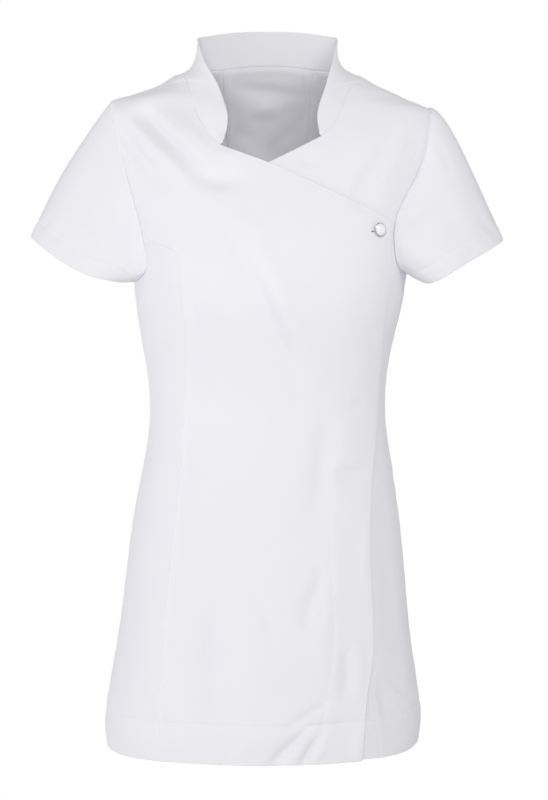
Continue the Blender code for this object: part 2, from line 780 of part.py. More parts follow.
def make_front_left():
    first = joined(EDGES["under_edge"], EDGES["under_top"], EDGES["neck_front", "left"])
    last = joined(EDGES["front_princess", "left"], EDGES["scye_high", "left"])
    panel("front_left", across(first, last, shares(UNDER_COLUMNS)), under=True)


def make_side_fronts():
    for name in ("right", "left"):
        rows = [EDGES["side", name], EDGES["front_princess", name]]
        grid = across(*rows, shares(SIDE_COLUMNS))
        grid[-1] = EDGES["scye_low", name]
        grid = ease_rows(grid)
        panel(f"side_front_{name}", grid if name == "right" else grid[:, ::-1], under=name == "left")


def ease_rows(grid):
    """Lets the rows below a shaped top row follow it less and less."""
    straight = across(grid[:, 0], grid[:, -1], shares(grid.shape[1] - 1))
    shift = grid[-1] - straight[-1]
    from_top = len(grid) - 1 - np.arange(len(grid))
    fade = ease(1 - from_top / SHAPED_ROWS)
    return straight + shift[None] * fade[:, None, None]


def make_backs():
    rows_up = LOW_ROWS + BACK_SCYE_ROWS - BACK_NECK_ROWS
    right, left = EDGES["back_princess", "right"].copy(), EDGES["back_princess", "left"]
    right[:, 0] += 2 * math.pi
    grid = across(left, right, shares(BACK_COLUMNS))
    half = BACK_COLUMNS // 2
    nape = joined(EDGES["neck_nape", "left"], EDGES["neck_nape", "right"][::-1] + [2 * math.pi, 0])
    grid[rows_up, : half + 1], grid[rows_up, half:] = nape[: half + 1], nape[half:]
    panel("back_centre", ease_rows(grid))
    for name in ("right", "left"):
        inner = joined(EDGES["back_princess", name], EDGES["neck_back", name][::-1])
        outer = joined(EDGES["side", name], EDGES["scye_back", name])
        grid = across(inner, outer, shares(SIDE_BACK_COLUMNS))
        seam = across(EDGES["neck_front", name][-1:], EDGES["scye_high", name][-1:], shares(SIDE_BACK_COLUMNS))
        grid[-1] = seam[0]
        panel(f"side_back_{name}", grid)


def make_sleeves():
    for index, name in enumerate(("right", "left")):
        run, share = armhole(name)
        mitre = MITRES[index][1]
        start = sleeve_point(name, run, share, 0.0)
        step = unit(sleeve_point(name, run, share, SLEEVE_START) - start) * SEAM_STEP
        rings = np.array([sleeve_point(name, run, share, t) for t in shares(SLEEVE_RINGS)])
        rings[0] = start + step
        around = np.roll(rings, -1, axis=1) - np.roll(rings, 1, axis=1)
        along = np.gradient(rings, axis=0)
        flip = 1 if name == "left" else -1
        outward = unit(np.cross(along, around)) * flip
        outward[0] = mitre
        wall(f"sleeve_{name}", rings, rings - outward * CLOTH, closed=True)


def make_collar():
    run, base, share = neck_run()
    mitre = MITRES[2][1]
    top = collar_edge(share)
    rings = np.array([base + (top - base) * t for t in shares(COLLAR_RINGS)])
    outward = unit(np.cross(np.gradient(rings, axis=0), np.gradient(rings, axis=1)))
    bow = 4 * shares(COLLAR_RINGS) * (1 - shares(COLLAR_RINGS))
    rings = rings + outward * (bow * COLLAR_BOW)[:, None, None]
    outward[0] = mitre
    lift = unit(top - base) * SEAM_STEP
    lift[[0, -1]] = lift[[1, -2]]
    rings[0] = rings[0] + lift
    wall("collar", rings, rings - outward * COLLAR_CLOTH)


def make_button():
    """The one button that shows, turned about the cloth's normal at the top corner of the wrap."""
    angle = angle_at(BUTTON_X, BUTTON_HEIGHT)
    normal = normals(body, angle, np.asarray(BUTTON_HEIGHT))
    foot = body(angle, BUTTON_HEIGHT) + normal * (LAYER + PLACKET_LAYER + BUTTON_LIFT)
    aside = unit(np.cross([0.0, 0.0, 1.0], normal))
    upright = np.cross(normal, aside)
    turns = np.arange(BUTTON_SIDES) * 2 * math.pi / BUTTON_SIDES
    spokes = np.cos(turns)[:, None] * aside + np.sin(turns)[:, None] * upright
    build = bmesh.new()
    rings = [
        [build.verts.new(foot + spoke * radius + normal * height) for spoke in spokes]
        for radius, height in BUTTON_PROFILE
    ]
    for low, high in zip(rings, rings[1:]):
        for j in range(BUTTON_SIDES):
            k = (j + 1) % BUTTON_SIDES
            build.faces.new((low[j], low[k], high[k], high[j]))
    build.faces.new(rings[0][::-1])
    build.faces.new(rings[-1])
    bmesh.ops.recalc_face_normals(build, faces=build.faces)
    bmesh.ops.triangulate(build, faces=build.faces)
    mesh = bpy.data.meshes.new("button")
    build.to_mesh(mesh)
    build.free()
    mesh.shade_smooth()
    mesh.set_sharp_from_angle(angle=SHARP)
    add_object("button", mesh, PEARL)


def main():
    for old in list(bpy.data.objects):
        bpy.data.objects.remove(old)
    make_front_right()
    make_front_left()
    make_side_fronts()
    make_backs()
    make_sleeves()
    make_collar()
    make_button()


main()
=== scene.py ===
"""Looks of a beautician's wrap-front tunic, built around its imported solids. Metres, +Z up.

The front faces -Y and the wearer's left side is at +X. Every panel is a thin sheet of cloth on
the form of its solid, with the seams, hems, stitches and creases that the solid leaves out.
"""

import math

import bpy
import numpy as np
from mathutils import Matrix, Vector


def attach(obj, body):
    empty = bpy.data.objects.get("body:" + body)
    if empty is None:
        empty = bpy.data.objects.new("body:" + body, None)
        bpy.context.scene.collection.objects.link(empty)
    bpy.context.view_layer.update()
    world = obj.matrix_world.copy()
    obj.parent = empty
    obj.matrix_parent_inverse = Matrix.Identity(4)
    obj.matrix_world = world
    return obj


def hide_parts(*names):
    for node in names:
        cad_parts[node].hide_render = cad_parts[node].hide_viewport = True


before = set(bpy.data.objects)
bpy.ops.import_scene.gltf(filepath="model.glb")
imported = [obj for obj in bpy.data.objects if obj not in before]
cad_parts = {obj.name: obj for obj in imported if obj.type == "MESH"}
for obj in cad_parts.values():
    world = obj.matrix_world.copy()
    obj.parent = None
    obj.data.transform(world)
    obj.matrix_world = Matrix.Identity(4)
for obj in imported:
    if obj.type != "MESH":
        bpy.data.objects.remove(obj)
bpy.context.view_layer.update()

# Thickness of the cloth, of its turned hems and of the collar, and what a seam allowance adds
CLOTH = 0.0007
FOLDED = 0.0014
COLLAR_CLOTH = 0.0015
ALLOWANCE_CLOTH = 0.0009
ALLOWANCE_WIDTH = 0.0094

# How far a seam draws the cloth in outside and inside and how wide that is, and how far its
# allowances raise the cloth outside
SEAM_DIP = 0.00025
INNER_DIP = 0.0009
SEAM_WIDTH = 0.0009
ALLOWANCE_RISE = 0.00025
ALLOWANCE_STEP = 0.0012

# Raised seams: how high they stand, and over which distances the cloth rises and falls again
RIDGE = 0.0011
RIDGE_RISE = 0.0030
RIDGE_FALL = 0.0180
# Width of the painted highlight, a lighter strip of colour along them. The wrap's edge has one too: its
# strength, and the height it starts from and over which it comes in.
HIGHLIGHT_WIDTH = 0.0032
EDGE_HIGHLIGHT = 0.7
HIGHLIGHT_FROM = -0.30
HIGHLIGHT_OVER = 0.10

# Where two walls meet at an angle, their shared direction: its least cosine, and how far it reaches
MITRE_LIMIT = 0.45
MITRE_FADE = 0.005

# Depth of the hems up to their stitches, the distance of the placket's stitches from its edge, and
# the groove that a hem's stitches pull
HEM_DEPTH = 0.0440
CUFF_DEPTH = 0.0200
PLACKET_STITCH = 0.0475
GROOVE = 0.00035
GROOVE_WIDTH = 0.0010

# The upper front rises by LAYER over the under front, starting at LAYER_FROM_X from the midline
LAYER = 0.0024
LAYER_FROM_X = -0.045
LAYER_OVER = 0.045

# It rises once more over its own placket, which lies behind the wrap edge, and below GROOVE_FROM
# the placket's stitches pull a groove
PLACKET_WIDTH = 0.050
PLACKET_SLOPE_TO = 0.085
PLACKET_SLOPE = 0.065
PLACKET_LAYER = 0.0012
PLACKET_GROOVE = 0.0007
PLACKET_GROOVE_WIDTH = 0.0030
GROOVE_FROM = -0.46
# The placket's own sheet: how far it lies behind, its share of the width there, and its ends
PLACKET_DROP = 0.0018
PLACKET_SHARE = 0.97
PLACKET_ABOVE_HEM = 0.002
PLACKET_BELOW_CORNER = 0.004

# The under front drops by UNDER_DROP, from HIDDEN_FROM inside the edges of the upper front
UNDER_DROP = 0.0045
HIDDEN_FROM = 0.004
HIDDEN_OVER = 0.026

# The wrap's edge curls outwards below the waist: how far, how wide, and over which heights it starts
EDGE_CURL = 0.0030
CURL_WIDTH = 0.030
CURL_FROM = -0.36
CURL_OVER = 0.16

# Distances from an edge, and on both sides of a line of stitches, at which the sheets have rows
NEAR_EDGE = (0.0, 0.0002, 0.0005, 0.0009, 0.0014, 0.0021, 0.0032, 0.0052, 0.0082, 0.0094)
BESIDE_STITCHES = (-0.0040, -0.0022, -0.0012, -0.0006, 0.0, 0.0006, 0.0012, 0.0022, 0.0040)

# Rows and columns between those
LOW_ROWS = 150
DIAGONAL_ROWS = 46
NECK_ROWS = 20
SCYE_ROWS = 44
NECK_BACK_ROWS = 14
SIDE_COLUMNS = 18
WRAP_COLUMNS = 56
UNDER_COLUMNS = 50
BACK_COLUMNS = 34
SIDE_BACK_COLUMNS = 34
SLEEVE_ROWS = 26
COLLAR_ROWS = 12
# Rough lengths of the diagonal top edge, of a stretch of neck and of an armhole, to space their rows
DIAGONAL_LENGTH = 0.20
NECK_LENGTH = 0.09
SCYE_LENGTH = 0.25
# Points that edges, widths, angles and princess seams are sampled at
EDGE_SAMPLES = 800
WIDTH_SAMPLES = 24
ANGLE_SAMPLES = 720
PRINCESS_SAMPLES = 400
# Share of the front armhole's upper stretch that lies beside the diagonal top edge
DIAGONAL_SHARE = 8 / 14
# Height over which rows below a shaped top edge follow it
SHAPED_HEIGHT = 0.14

# Driving heights
HEM = -0.7760
RIGHT_SHOULDER = -0.0305
LEFT_SHOULDER = -0.0370

# How square the body's sections are: 0 is an ellipse
SQUARENESS = 0.02

# Sections of the body: height, wearer's right half width, left half width, front depth, back depth
BODY = (
    (-0.782, 0.1830, 0.1728, 0.140, 0.134),
    (-0.746, 0.1846, 0.1752, 0.140, 0.135),
    (-0.700, 0.1798, 0.1715, 0.138, 0.135),
    (-0.608, 0.1658, 0.1605, 0.131, 0.131),
    (-0.516, 0.1547, 0.1524, 0.121, 0.117),
    (-0.447, 0.1412, 0.1430, 0.111, 0.099),
    (-0.378, 0.1340, 0.1351, 0.107, 0.088),
    (-0.320, 0.1405, 0.1415, 0.117, 0.093),
    (-0.263, 0.1501, 0.1545, 0.131, 0.103),
    (-0.225, 0.1540, 0.1600, 0.131, 0.106),
    (-0.170, 0.1670, 0.1720, 0.119, 0.106),
    (-0.120, 0.1830, 0.1890, 0.101, 0.101),
    (-0.075, 0.1925, 0.1990, 0.079, 0.092),
    (-0.048, 0.1930, 0.1960, 0.061, 0.083),
    (-0.0370, 0.1880, 0.1850, 0.054, 0.079),
    (-0.0305, 0.1800, 0.1685, 0.050, 0.076),
    (-0.0213, 0.1482, 0.1483, 0.044, 0.072),
    (-0.0121, 0.1225, 0.1276, 0.038, 0.068),
    (-0.0029, 0.1075, 0.1110, 0.032, 0.064),
    (0.0063, 0.0935, 0.0990, 0.027, 0.061),
    (0.0180, 0.0870, 0.0940, 0.022, 0.059),
)

# How far the hem rises above its height, by degrees round from the middle of the front
HEM_RISE = (
    (-180, 0.0000),
    (-135, 0.0030),
    (-90, 0.0090),
    (-75, 0.0065),
    (-54, 0.0026),
    (-35, 0.0013),
    (0, -0.0005),
    (25, 0.0015),
    (45, 0.0042),
    (60, 0.0064),
    (75, 0.0112),
    (90, 0.0140),
    (135, 0.0050),
    (180, 0.0000),
)
HEM_RISE_FROM = -0.640

# Princess seams: height, distance from the midline
FRONT_PRINCESS = (
    (-0.782, 0.1270),
    (-0.692, 0.1178),
    (-0.600, 0.1100),
    (-0.496, 0.0990),
    (-0.400, 0.0925),
    (-0.330, 0.0898),
    (-0.270, 0.0900),
    (-0.231, 0.0952),
    (-0.2150, 0.0982),
    (-0.2075, 0.1028),
    (-0.2022, 0.1110),
    (-0.1985, 0.1215),
)
BACK_PRINCESS = (
    (-0.782, 0.0900),
    (-0.600, 0.0760),
    (-0.480, 0.0590),
    (-0.378, 0.0500),
    (-0.260, 0.0490),
    (-0.150, 0.0470),
    (-0.070, 0.0485),
    (0.000, 0.0525),
)

# Armholes: height, share of the half width, from the armpit to the shoulder point.
# The back's first and last heights are those of the front that it meets.
FRONT_SCYE_RIGHT = (
    (-0.2380, 1.000),
    (-0.2350, 0.940),
    (-0.2265, 0.885),
    (-0.2051, 0.866),
    (-0.1769, 0.862),
    (-0.1327, 0.860),
    (-0.0863, 0.874),
    (-0.0540, 0.905),
    (-0.0400, 0.940),
    (RIGHT_SHOULDER, 1.000),
)
FRONT_SCYE_LEFT = (
    (-0.2280, 1.000),
    (-0.2245, 0.950),
    (-0.2120, 0.900),
    (-0.1960, 0.868),
    (-0.1760, 0.845),
    (-0.1450, 0.862),
    (-0.1156, 0.897),
    (-0.0805, 0.910),
    (-0.0600, 0.925),
    (-0.0463, 0.950),
    (LEFT_SHOULDER, 1.000),
)
BACK_SCYE = (
    (-0.219, 0.945),
    (-0.198, 0.905),
    (-0.170, 0.885),
    (-0.130, 0.882),
    (-0.090, 0.900),
    (-0.065, 0.925),
    (-0.048, 0.960),
)
# Share of the way up the front armhole at which the princess seam meets it
SCYE_JOIN = 0.36
# Width that stands for a whole half width where an armhole's length is measured
SCYE_SPREAD = 0.25

# Wrap edge of the upper front, from the hem to its top corner: height, distance from the midline
WRAP_EDGE = (
    (-0.782, 0.1020),
    (-0.745, 0.1054),
    (-0.700, 0.1090),
    (-0.660, 0.1148),
    (-0.620, 0.1152),
    (-0.550, 0.1124),
    (-0.480, 0.1140),
    (-0.412, 0.1205),
    (-0.330, 0.1262),
    (-0.265, 0.1310),
    (-0.210, 0.1358),
    (-0.1731, 0.1372),
)
# Top edge of the upper front, from that corner to the collar's end: distance from the midline, height
WRAP_TOP = (
    (0.1372, -0.1731),
    (0.1235, -0.1655),
    (0.1075, -0.1573),
    (0.0711, -0.1405),
    (0.0203, -0.1168),
    (0.0002, -0.1078),
    (-0.0280, -0.0965),
    (-0.0513, -0.0873),
)
# Hidden side edge and hem of the under front
UNDER_EDGE_X = -0.030
UNDER_HEM = -0.7720
# Top edge of the under front: distance from the midline, height
UNDER_TOP = (
    (-0.0300, -0.1215),
    (0.0002, -0.1078),
    (0.0300, -0.0928),
    (0.0600, -0.0768),
)

# Neck seam on the fronts, from the collar's end to the shoulder seam: distance from the midline, height
NECK_RIGHT = (
    (-0.0513, -0.0873),
    (-0.0627, -0.0755),
    (-0.0731, -0.0598),
    (-0.0795, -0.0480),
    (-0.0826, -0.0389),
    (-0.0876, -0.0198),
    (-0.0920, -0.0080),
)
NECK_LEFT = (
    (0.0600, -0.0768),
    (0.0721, -0.0670),
    (0.0800, -0.0540),
    (0.0860, -0.0410),
    (0.0905, -0.0290),
    (0.0945, -0.0185),
    (0.0982, -0.0100),
)
# Neck seam on the back: degrees round from the middle of the front, height. The last row is the
# top of the back's princess seam.
NECK_BACK = (
    (92, 0.0000),
    (115, 0.0060),
    (146, 0.0110),
)
NAPE_HEIGHT = 0.0165

# Free edge of the collar: share of the way round, x, y, z
COLLAR_EDGE = (
    (0.000, -0.0500, -0.0860, -0.0845),
    (0.050, -0.0454, -0.0760, -0.0691),
    (0.100, -0.0444, -0.0690, -0.0516),
    (0.150, -0.0479, -0.0600, -0.0372),
    (0.200, -0.0537, -0.0490, -0.0203),
    (0.250, -0.0619, -0.0370, -0.0032),
    (0.300, -0.0725, -0.0200, 0.0157),
    (0.345, -0.0800, 0.0080, 0.0400),
    (0.390, -0.0760, 0.0340, 0.0480),
    (0.440, -0.0430, 0.0520, 0.0550),
    (0.500, 0.0000, 0.0570, 0.0570),
    (0.560, 0.0430, 0.0520, 0.0550),
    (0.610, 0.0760, 0.0340, 0.0480),
    (0.655, 0.0815, 0.0080, 0.0400),
    (0.700, 0.0772, -0.0180, 0.0173),
    (0.750, 0.0712, -0.0330, -0.0015),
    (0.800, 0.0665, -0.0440, -0.0173),
    (0.850, 0.0607, -0.0560, -0.0343),
    (0.900, 0.0572, -0.0650, -0.0487),
    (0.950, 0.0576, -0.0720, -0.0615),
    (1.000, 0.0598, -0.0790, -0.0740),
)
COLLAR_BOW = 0.0015

# Cuffs: share of the way round from the underarm, x, y, z
CUFF_RIGHT = (
    (0.00, -0.1830, 0.0120, -0.2340),
    (0.07, -0.1690, -0.0300, -0.2390),
    (0.14, -0.1730, -0.0520, -0.2392),
    (0.25, -0.2030, -0.0580, -0.2322),
    (0.34, -0.2290, -0.0480, -0.2190),
    (0.42, -0.2529, -0.0300, -0.2021),
    (0.50, -0.2712, 0.0000, -0.1868),
    (0.60, -0.2640, 0.0350, -0.1870),
    (0.75, -0.2180, 0.0600, -0.2010),
    (0.90, -0.1880, 0.0480, -0.2180),
)
CUFF_LEFT = (
    (0.00, 0.1850, 0.0120, -0.2230),
    (0.07, 0.1750, -0.0280, -0.2340),
    (0.14, 0.1822, -0.0510, -0.2415),
    (0.25, 0.2127, -0.0570, -0.2271),
    (0.34, 0.2340, -0.0450, -0.2140),
    (0.42, 0.2541, -0.0300, -0.2021),
    (0.50, 0.2712, 0.0000, -0.1903),
    (0.60, 0.2640, 0.0350, -0.1910),
    (0.75, 0.2180, 0.0600, -0.2040),
    (0.90, 0.1890, 0.0480, -0.2150),
)
# Fullness of the sleeves: share of the way round, right bulge, left bulge
SLEEVE_BULGE = (
    (0.00, 0.000, 0.000),
    (0.14, 0.003, 0.003),
    (0.28, 0.006, 0.006),
    (0.42, 0.005, 0.009),
    (0.50, 0.0048, 0.0105),
    (0.60, 0.006, 0.010),
    (0.75, 0.008, 0.009),
    (0.88, 0.003, 0.003),
    (1.00, 0.000, 0.000),
)

# How early the fullness comes below the armhole: a smaller power brings it nearer
BULGE_LEAN = {"right": 0.75, "left": 0.45}
# Share of the sleeve's length that gives its direction at the armhole
SLEEVE_START = 0.1
# Points of a cuff that its middle is found from
CUFF_POINTS = 8

# Depth of a fold at its ends, as a share of its depth halfway along, and the cosine of the angle
# over which folds fade out towards the side seams
FOLD_ENDS = 0.55
FOLD_FADE = 0.25

# Largest folds: x and z of each end, half width, depth (a trough is negative)
FRONT_FOLDS = (
    (-0.1660, -0.066, -0.1190, -0.134, 0.0075, -0.0030),
    (-0.1500, -0.062, -0.0880, -0.128, 0.0090, 0.0030),
    (-0.1320, -0.056, -0.0760, -0.120, 0.0090, -0.0032),
    (-0.0760, -0.125, -0.0330, -0.129, 0.0110, -0.0040),
    (-0.1150, -0.044, -0.0560, -0.100, 0.0085, 0.0020),
    (0.1480, -0.072, 0.1030, -0.150, 0.0120, -0.0028),
    (-0.0420, -0.190, 0.0350, -0.345, 0.0140, -0.0022),
    (-0.0180, -0.180, 0.0580, -0.345, 0.0150, 0.0022),
    (0.0650, -0.400, 0.0600, -0.500, 0.0130, -0.0028),
    (0.0760, -0.468, 0.1080, -0.460, 0.0080, -0.0030),
    (-0.0600, -0.600, -0.0570, -0.740, 0.0160, -0.0040),
    (0.0440, -0.735, 0.0060, -0.784, 0.0060, -0.0040),
    (0.0540, -0.748, 0.0340, -0.784, 0.0050, -0.0035),
    (0.0850, -0.655, 0.0850, -0.705, 0.0060, -0.0018),
    (0.1330, -0.690, 0.1380, -0.740, 0.0120, -0.0030),
)
BACK_FOLDS = (
    (0.0100, -0.035, -0.0350, -0.022, 0.0100, -0.0022),
    (0.0350, -0.095, -0.0250, -0.070, 0.0110, 0.0022),
    (-0.1300, -0.090, -0.0800, -0.150, 0.0110, -0.0030),
    (0.1350, -0.095, 0.0850, -0.160, 0.0120, -0.0030),
    (-0.0950, -0.370, -0.0250, -0.392, 0.0110, -0.0034),
    (0.1000, -0.356, 0.0300, -0.378, 0.0120, -0.0034),
    (-0.0600, -0.560, -0.0680, -0.770, 0.0180, -0.0050),
    (0.0450, -0.600, 0.0520, -0.770, 0.0170, -0.0045),
    (0.1150, -0.610, 0.1260, -0.770, 0.0160, -0.0045),
    (-0.1250, -0.620, -0.1340, -0.770, 0.0160, -0.0045),
)

# Button on the top corner of the wrap: its place, and how far its foot stands off the cloth
BUTTON_X = 0.1235
BUTTON_HEIGHT = -0.1828
BUTTON_LIFT = 0.0004

# Seams, hems and unevenness: heights, wavelengths and widths
PUCKER = 0.00022
PUCKER_LENGTH = 0.021
PUCKER_WIDTH = 0.010
ROPING = 0.00045
ROPING_LENGTH = 0.024
ROPING_WIDTH = 0.020
ROPING_SKEW = 0.5
ROPING_FADE = 0.012
HEM_PUFF = 0.0006
HEM_STEP = 0.0012
UNEVEN = 0.0006
UNEVEN_LENGTH = 0.120
UNEVEN_FADE = 0.020
SOFT = 0.00018
SOFT_LENGTH = 0.045
COLLAR_SOFT = 0.0004
# Waves in an uneven ripple, and how much slower or faster they may turn than its wavelength says
RIPPLE_WAVES = 6
RIPPLE_RANGE = (0.7, 1.4)
# How round the rim of a free edge is: 0 is square
RIM_ROUNDNESS = 0.9
# Depth of a crease at its ends, as a share of its depth halfway along
CREASE_ENDS = 0.15
# Height over which the placket's rise fades out round the wrap's top corner
PLACKET_FADE = 0.080
# Distance that stands for no seam at all, and the largest error between points of one seam
FAR = 1.0
SAME = 1e-9
# Angle between faces that is shaded as an edge
SHARP = math.radians(55)
# Steps of angle and height over which normals are measured
ANGLE_STEP = 0.004
HEIGHT_STEP = 0.0008

# Creases finer than the solids' folds: half width, depth (a trough is negative), then x and z of
# each point of the line
FRONT_CREASES = (
    (
        0.0075, -0.0022, (-0.0690, -0.1710), (-0.0533, -0.1788), (-0.0377, -0.1956), (-0.0232, -0.2179),
        (-0.0109, -0.2458), (0.0014, -0.2748), (0.0159, -0.3072), (0.0281, -0.3406), (0.0337, -0.3685),
    ),
    (
        0.0090, 0.0005, (-0.0388, -0.1632), (-0.0165, -0.1877), (0.0014, -0.2190), (0.0159, -0.2547),
        (0.0293, -0.2893), (0.0426, -0.3194), (0.0516, -0.3529),
    ),
    (
        0.0075, -0.0026, (-0.0143, -0.2346), (-0.0042, -0.2614), (0.0069, -0.2893), (0.0203, -0.3194),
        (0.0315, -0.3507), (0.0371, -0.3786), (0.0382, -0.3998),
    ),
    (0.0090, 0.0036, (-0.1771, -0.0508), (-0.1508, -0.0416), (-0.1222, -0.0302), (-0.0925, -0.0188)),
    (0.0050, -0.0020, (-0.1754, -0.0559), (-0.1585, -0.0762), (-0.1381, -0.1012), (-0.1143, -0.1238)),
    (0.0050, 0.0017, (-0.1698, -0.0400), (-0.1483, -0.0626), (-0.1301, -0.0853), (-0.1120, -0.1046)),
    (
        0.0055, -0.0022, (-0.1483, -0.0423), (-0.1313, -0.0570), (-0.1131, -0.0751), (-0.0939, -0.0910),
        (-0.0746, -0.1114), (-0.0610, -0.1283),
    ),
    (0.0050, 0.0015, (-0.1324, -0.0366), (-0.1075, -0.0626), (-0.0848, -0.0898)),
    (0.0100, -0.0028, (-0.0717, -0.1170), (-0.0503, -0.1249), (-0.0290, -0.1170)),
    (0.0080, 0.0014, (-0.0593, -0.0901), (-0.0391, -0.0991), (-0.0234, -0.0946)),
    (0.0070, -0.0022, (0.1436, -0.0771), (0.1289, -0.0952), (0.1131, -0.1178), (0.1007, -0.1426)),
    (0.0060, 0.0016, (0.1583, -0.0658), (0.1492, -0.0895), (0.1345, -0.1144), (0.1199, -0.1370)),
    (0.0070, -0.0012, (0.0328, -0.0960), (0.0475, -0.1061), (0.0644, -0.1005)),
    (
        0.0110, -0.0012, (0.0752, -0.3931), (0.0651, -0.4267), (0.0573, -0.4603), (0.0539, -0.4905),
        (0.0405, -0.5152), (0.0181, -0.5387),
    ),
    (0.0065, 0.0006, (0.0886, -0.4066), (0.0808, -0.4402), (0.0752, -0.4849), (0.0719, -0.5297)),
    (0.0055, -0.0040, (0.0739, -0.4556), (0.0873, -0.4534), (0.1007, -0.4545), (0.1130, -0.4567)),
    (0.0050, -0.0026, (0.0940, -0.3752), (0.1040, -0.3808), (0.1130, -0.3875)),
    (
        0.0140, -0.0044, (0.1293, -0.4179), (0.1327, -0.4853), (0.1360, -0.5526), (0.1394, -0.6200),
        (0.1439, -0.6873), (0.1461, -0.7379),
    ),
    (0.0030, -0.0009, (0.0750, -0.5962), (0.0884, -0.5951), (0.1029, -0.5973)),
    (0.0030, -0.0008, (0.0694, -0.6475), (0.0795, -0.6453), (0.0884, -0.6464)),
    (0.0030, -0.0006, (0.0795, -0.5348), (0.0929, -0.5326), (0.1063, -0.5348)),
    (0.0045, -0.0030, (0.0873, -0.6431), (0.0884, -0.6721), (0.0873, -0.7011)),
    (0.0060, 0.0018, (0.1007, -0.6341), (0.1029, -0.6721), (0.1007, -0.7123)),
    (0.0050, 0.0012, (0.1029, -0.7390), (0.1007, -0.7569), (0.0984, -0.7748)),
    (0.0050, 0.0010, (0.1107, -0.5069), (0.1085, -0.5516), (0.1074, -0.5962)),
    (0.0060, 0.0010, (0.1241, -0.1900), (0.1275, -0.2190), (0.1241, -0.2614), (0.1197, -0.3060)),
    (0.0080, -0.0032, (0.0616, -0.5538), (0.0572, -0.5795), (0.0471, -0.6018), (0.0415, -0.6319)),
    (0.0070, 0.0011, (0.0784, -0.5739), (0.0694, -0.6074), (0.0616, -0.6431)),
    (0.0080, -0.0022, (-0.0076, -0.5940), (0.0014, -0.6163), (0.0114, -0.6431)),
    (0.0110, -0.0042, (-0.0567, -0.5850), (-0.0600, -0.6408), (-0.0567, -0.6989)),
    (0.0140, -0.0012, (-0.0388, -0.5047), (-0.0511, -0.5516)),
    (0.0130, 0.0010, (-0.0277, -0.5962), (-0.0288, -0.6520), (-0.0265, -0.7078)),
    (0.0042, -0.0032, (0.0681, -0.7068), (0.0503, -0.7179), (0.0370, -0.7268), (0.0170, -0.7368)),
    (0.0042, -0.0040, (0.0381, -0.7446), (0.0247, -0.7558), (0.0114, -0.7669), (-0.0009, -0.7802)),
    (0.0036, 0.0020, (0.0492, -0.7391), (0.0359, -0.7524), (0.0225, -0.7680)),
    (0.0036, -0.0032, (0.0581, -0.7424), (0.0470, -0.7602), (0.0370, -0.7802)),
    (0.0036, 0.0014, (0.0681, -0.7424), (0.0603, -0.7602), (0.0537, -0.7780)),
    (0.0030, -0.0014, (0.0904, -0.7179), (0.0826, -0.7291), (0.0726, -0.7457)),
    (0.0080, -0.0013, (-0.0442, -0.7469), (-0.0376, -0.7825)),
    (0.0050, -0.0018, (0.1203, -0.6963), (0.1338, -0.7120)),
    (0.0050, -0.0015, (0.1383, -0.6896), (0.1518, -0.6986), (0.1652, -0.7098)),
    (0.0045, 0.0013, (0.1315, -0.6873), (0.1484, -0.7098)),
    (0.0090, -0.0028, (-0.1692, -0.1344), (-0.1612, -0.1742), (-0.1589, -0.2140)),
    (0.0090, 0.0016, (-0.1942, -0.1322), (-0.1896, -0.1685), (-0.1896, -0.2049)),
    (0.0050, -0.0020, (0.1421, -0.1708), (0.1557, -0.1606), (0.1739, -0.1401)),
    (0.0100, -0.0032, (0.1470, -0.1884), (0.1710, -0.1805), (0.1972, -0.1691)),
    (0.0080, 0.0016, (0.2063, -0.2044), (0.2314, -0.1918), (0.2541, -0.1759)),
    (0.0036, -0.0017, (0.0348, -0.7335), (0.0705, -0.7324), (0.1107, -0.7301)),
    (0.0060, -0.0012, (-0.2289, -0.1406), (-0.2130, -0.1611), (-0.2084, -0.1884)),
    (0.0060, -0.0012, (0.1898, -0.0776), (0.2034, -0.1004), (0.2103, -0.1288)),
)
BACK_CREASES = (
    (0.0060, 0.0018, (-0.0391, -0.0079), (-0.0061, -0.0103), (0.0410, -0.0162)),
    (0.0080, -0.0019, (-0.0343, -0.0433), (-0.0061, -0.0338), (0.0198, -0.0279)),
    (0.0070, 0.0015, (-0.0438, -0.0550), (-0.0202, -0.0633), (0.0010, -0.0550)),
    (0.0080, 0.0015, (-0.0061, -0.0809), (0.0210, -0.0633), (0.0422, -0.0433)),
    (0.0100, -0.0015, (0.0210, -0.0904), (0.0387, -0.0668)),
)

# Stitches: length, gap, and the bead's profile as share of the length, radius, height above cloth
STITCH_LENGTH = 0.0024
STITCH_GAP = 0.0007
STITCH_SIDES = 6
STITCH_PROFILE = (
    (0.00, 0.00008, -0.00022),
    (0.15, 0.00020, -0.00006),
    (0.50, 0.00024, 0.00002),
    (0.85, 0.00020, -0.00006),
    (1.00, 0.00008, -0.00022),
)

# Colours of the cloth, of its darker patches, and of the painted highlight along its raised seams and the
# wrap's edge
CLOTH_COLOUR = (0.83, 0.828, 0.86)
CLOTH_COLOUR_DARK = (0.815, 0.815, 0.85)
HIGHLIGHT_COLOUR = (0.885, 0.885, 0.90)
# Scale of the weave's wave texture, about 830 waves a metre, and depth of every material's relief
WEAVE_SCALE = 260.0
RELIEF = 0.00004

# Button: radius and height of the metal rim's profile, then of the pearl cap's
RIM_PROFILE = (
    (0.0030, 0.0000),
    (0.0030, 0.0012),
    (0.0068, 0.0012),
    (0.0074, 0.0015),
    (0.0077, 0.0020),
    (0.0077, 0.0025),
    (0.0074, 0.0029),
    (0.0071, 0.0029),
    (0.0070, 0.0026),
    (0.0064, 0.0025),
)
CAP_PROFILE = (
    (0.0069, 0.0023),
    (0.0068, 0.0029),
    (0.0064, 0.0036),
    (0.0055, 0.0043),
    (0.0042, 0.0048),
    (0.0026, 0.0051),
    (0.0010, 0.0052),
)
# Buttonhole's end beside the button: how far it lies from the button's middle, and its slit
HOLE_AWAY = 0.0092
HOLE_DROP = 0.0022
HOLE_LENGTH = 0.0046
HOLE_WIDTH = 0.0009
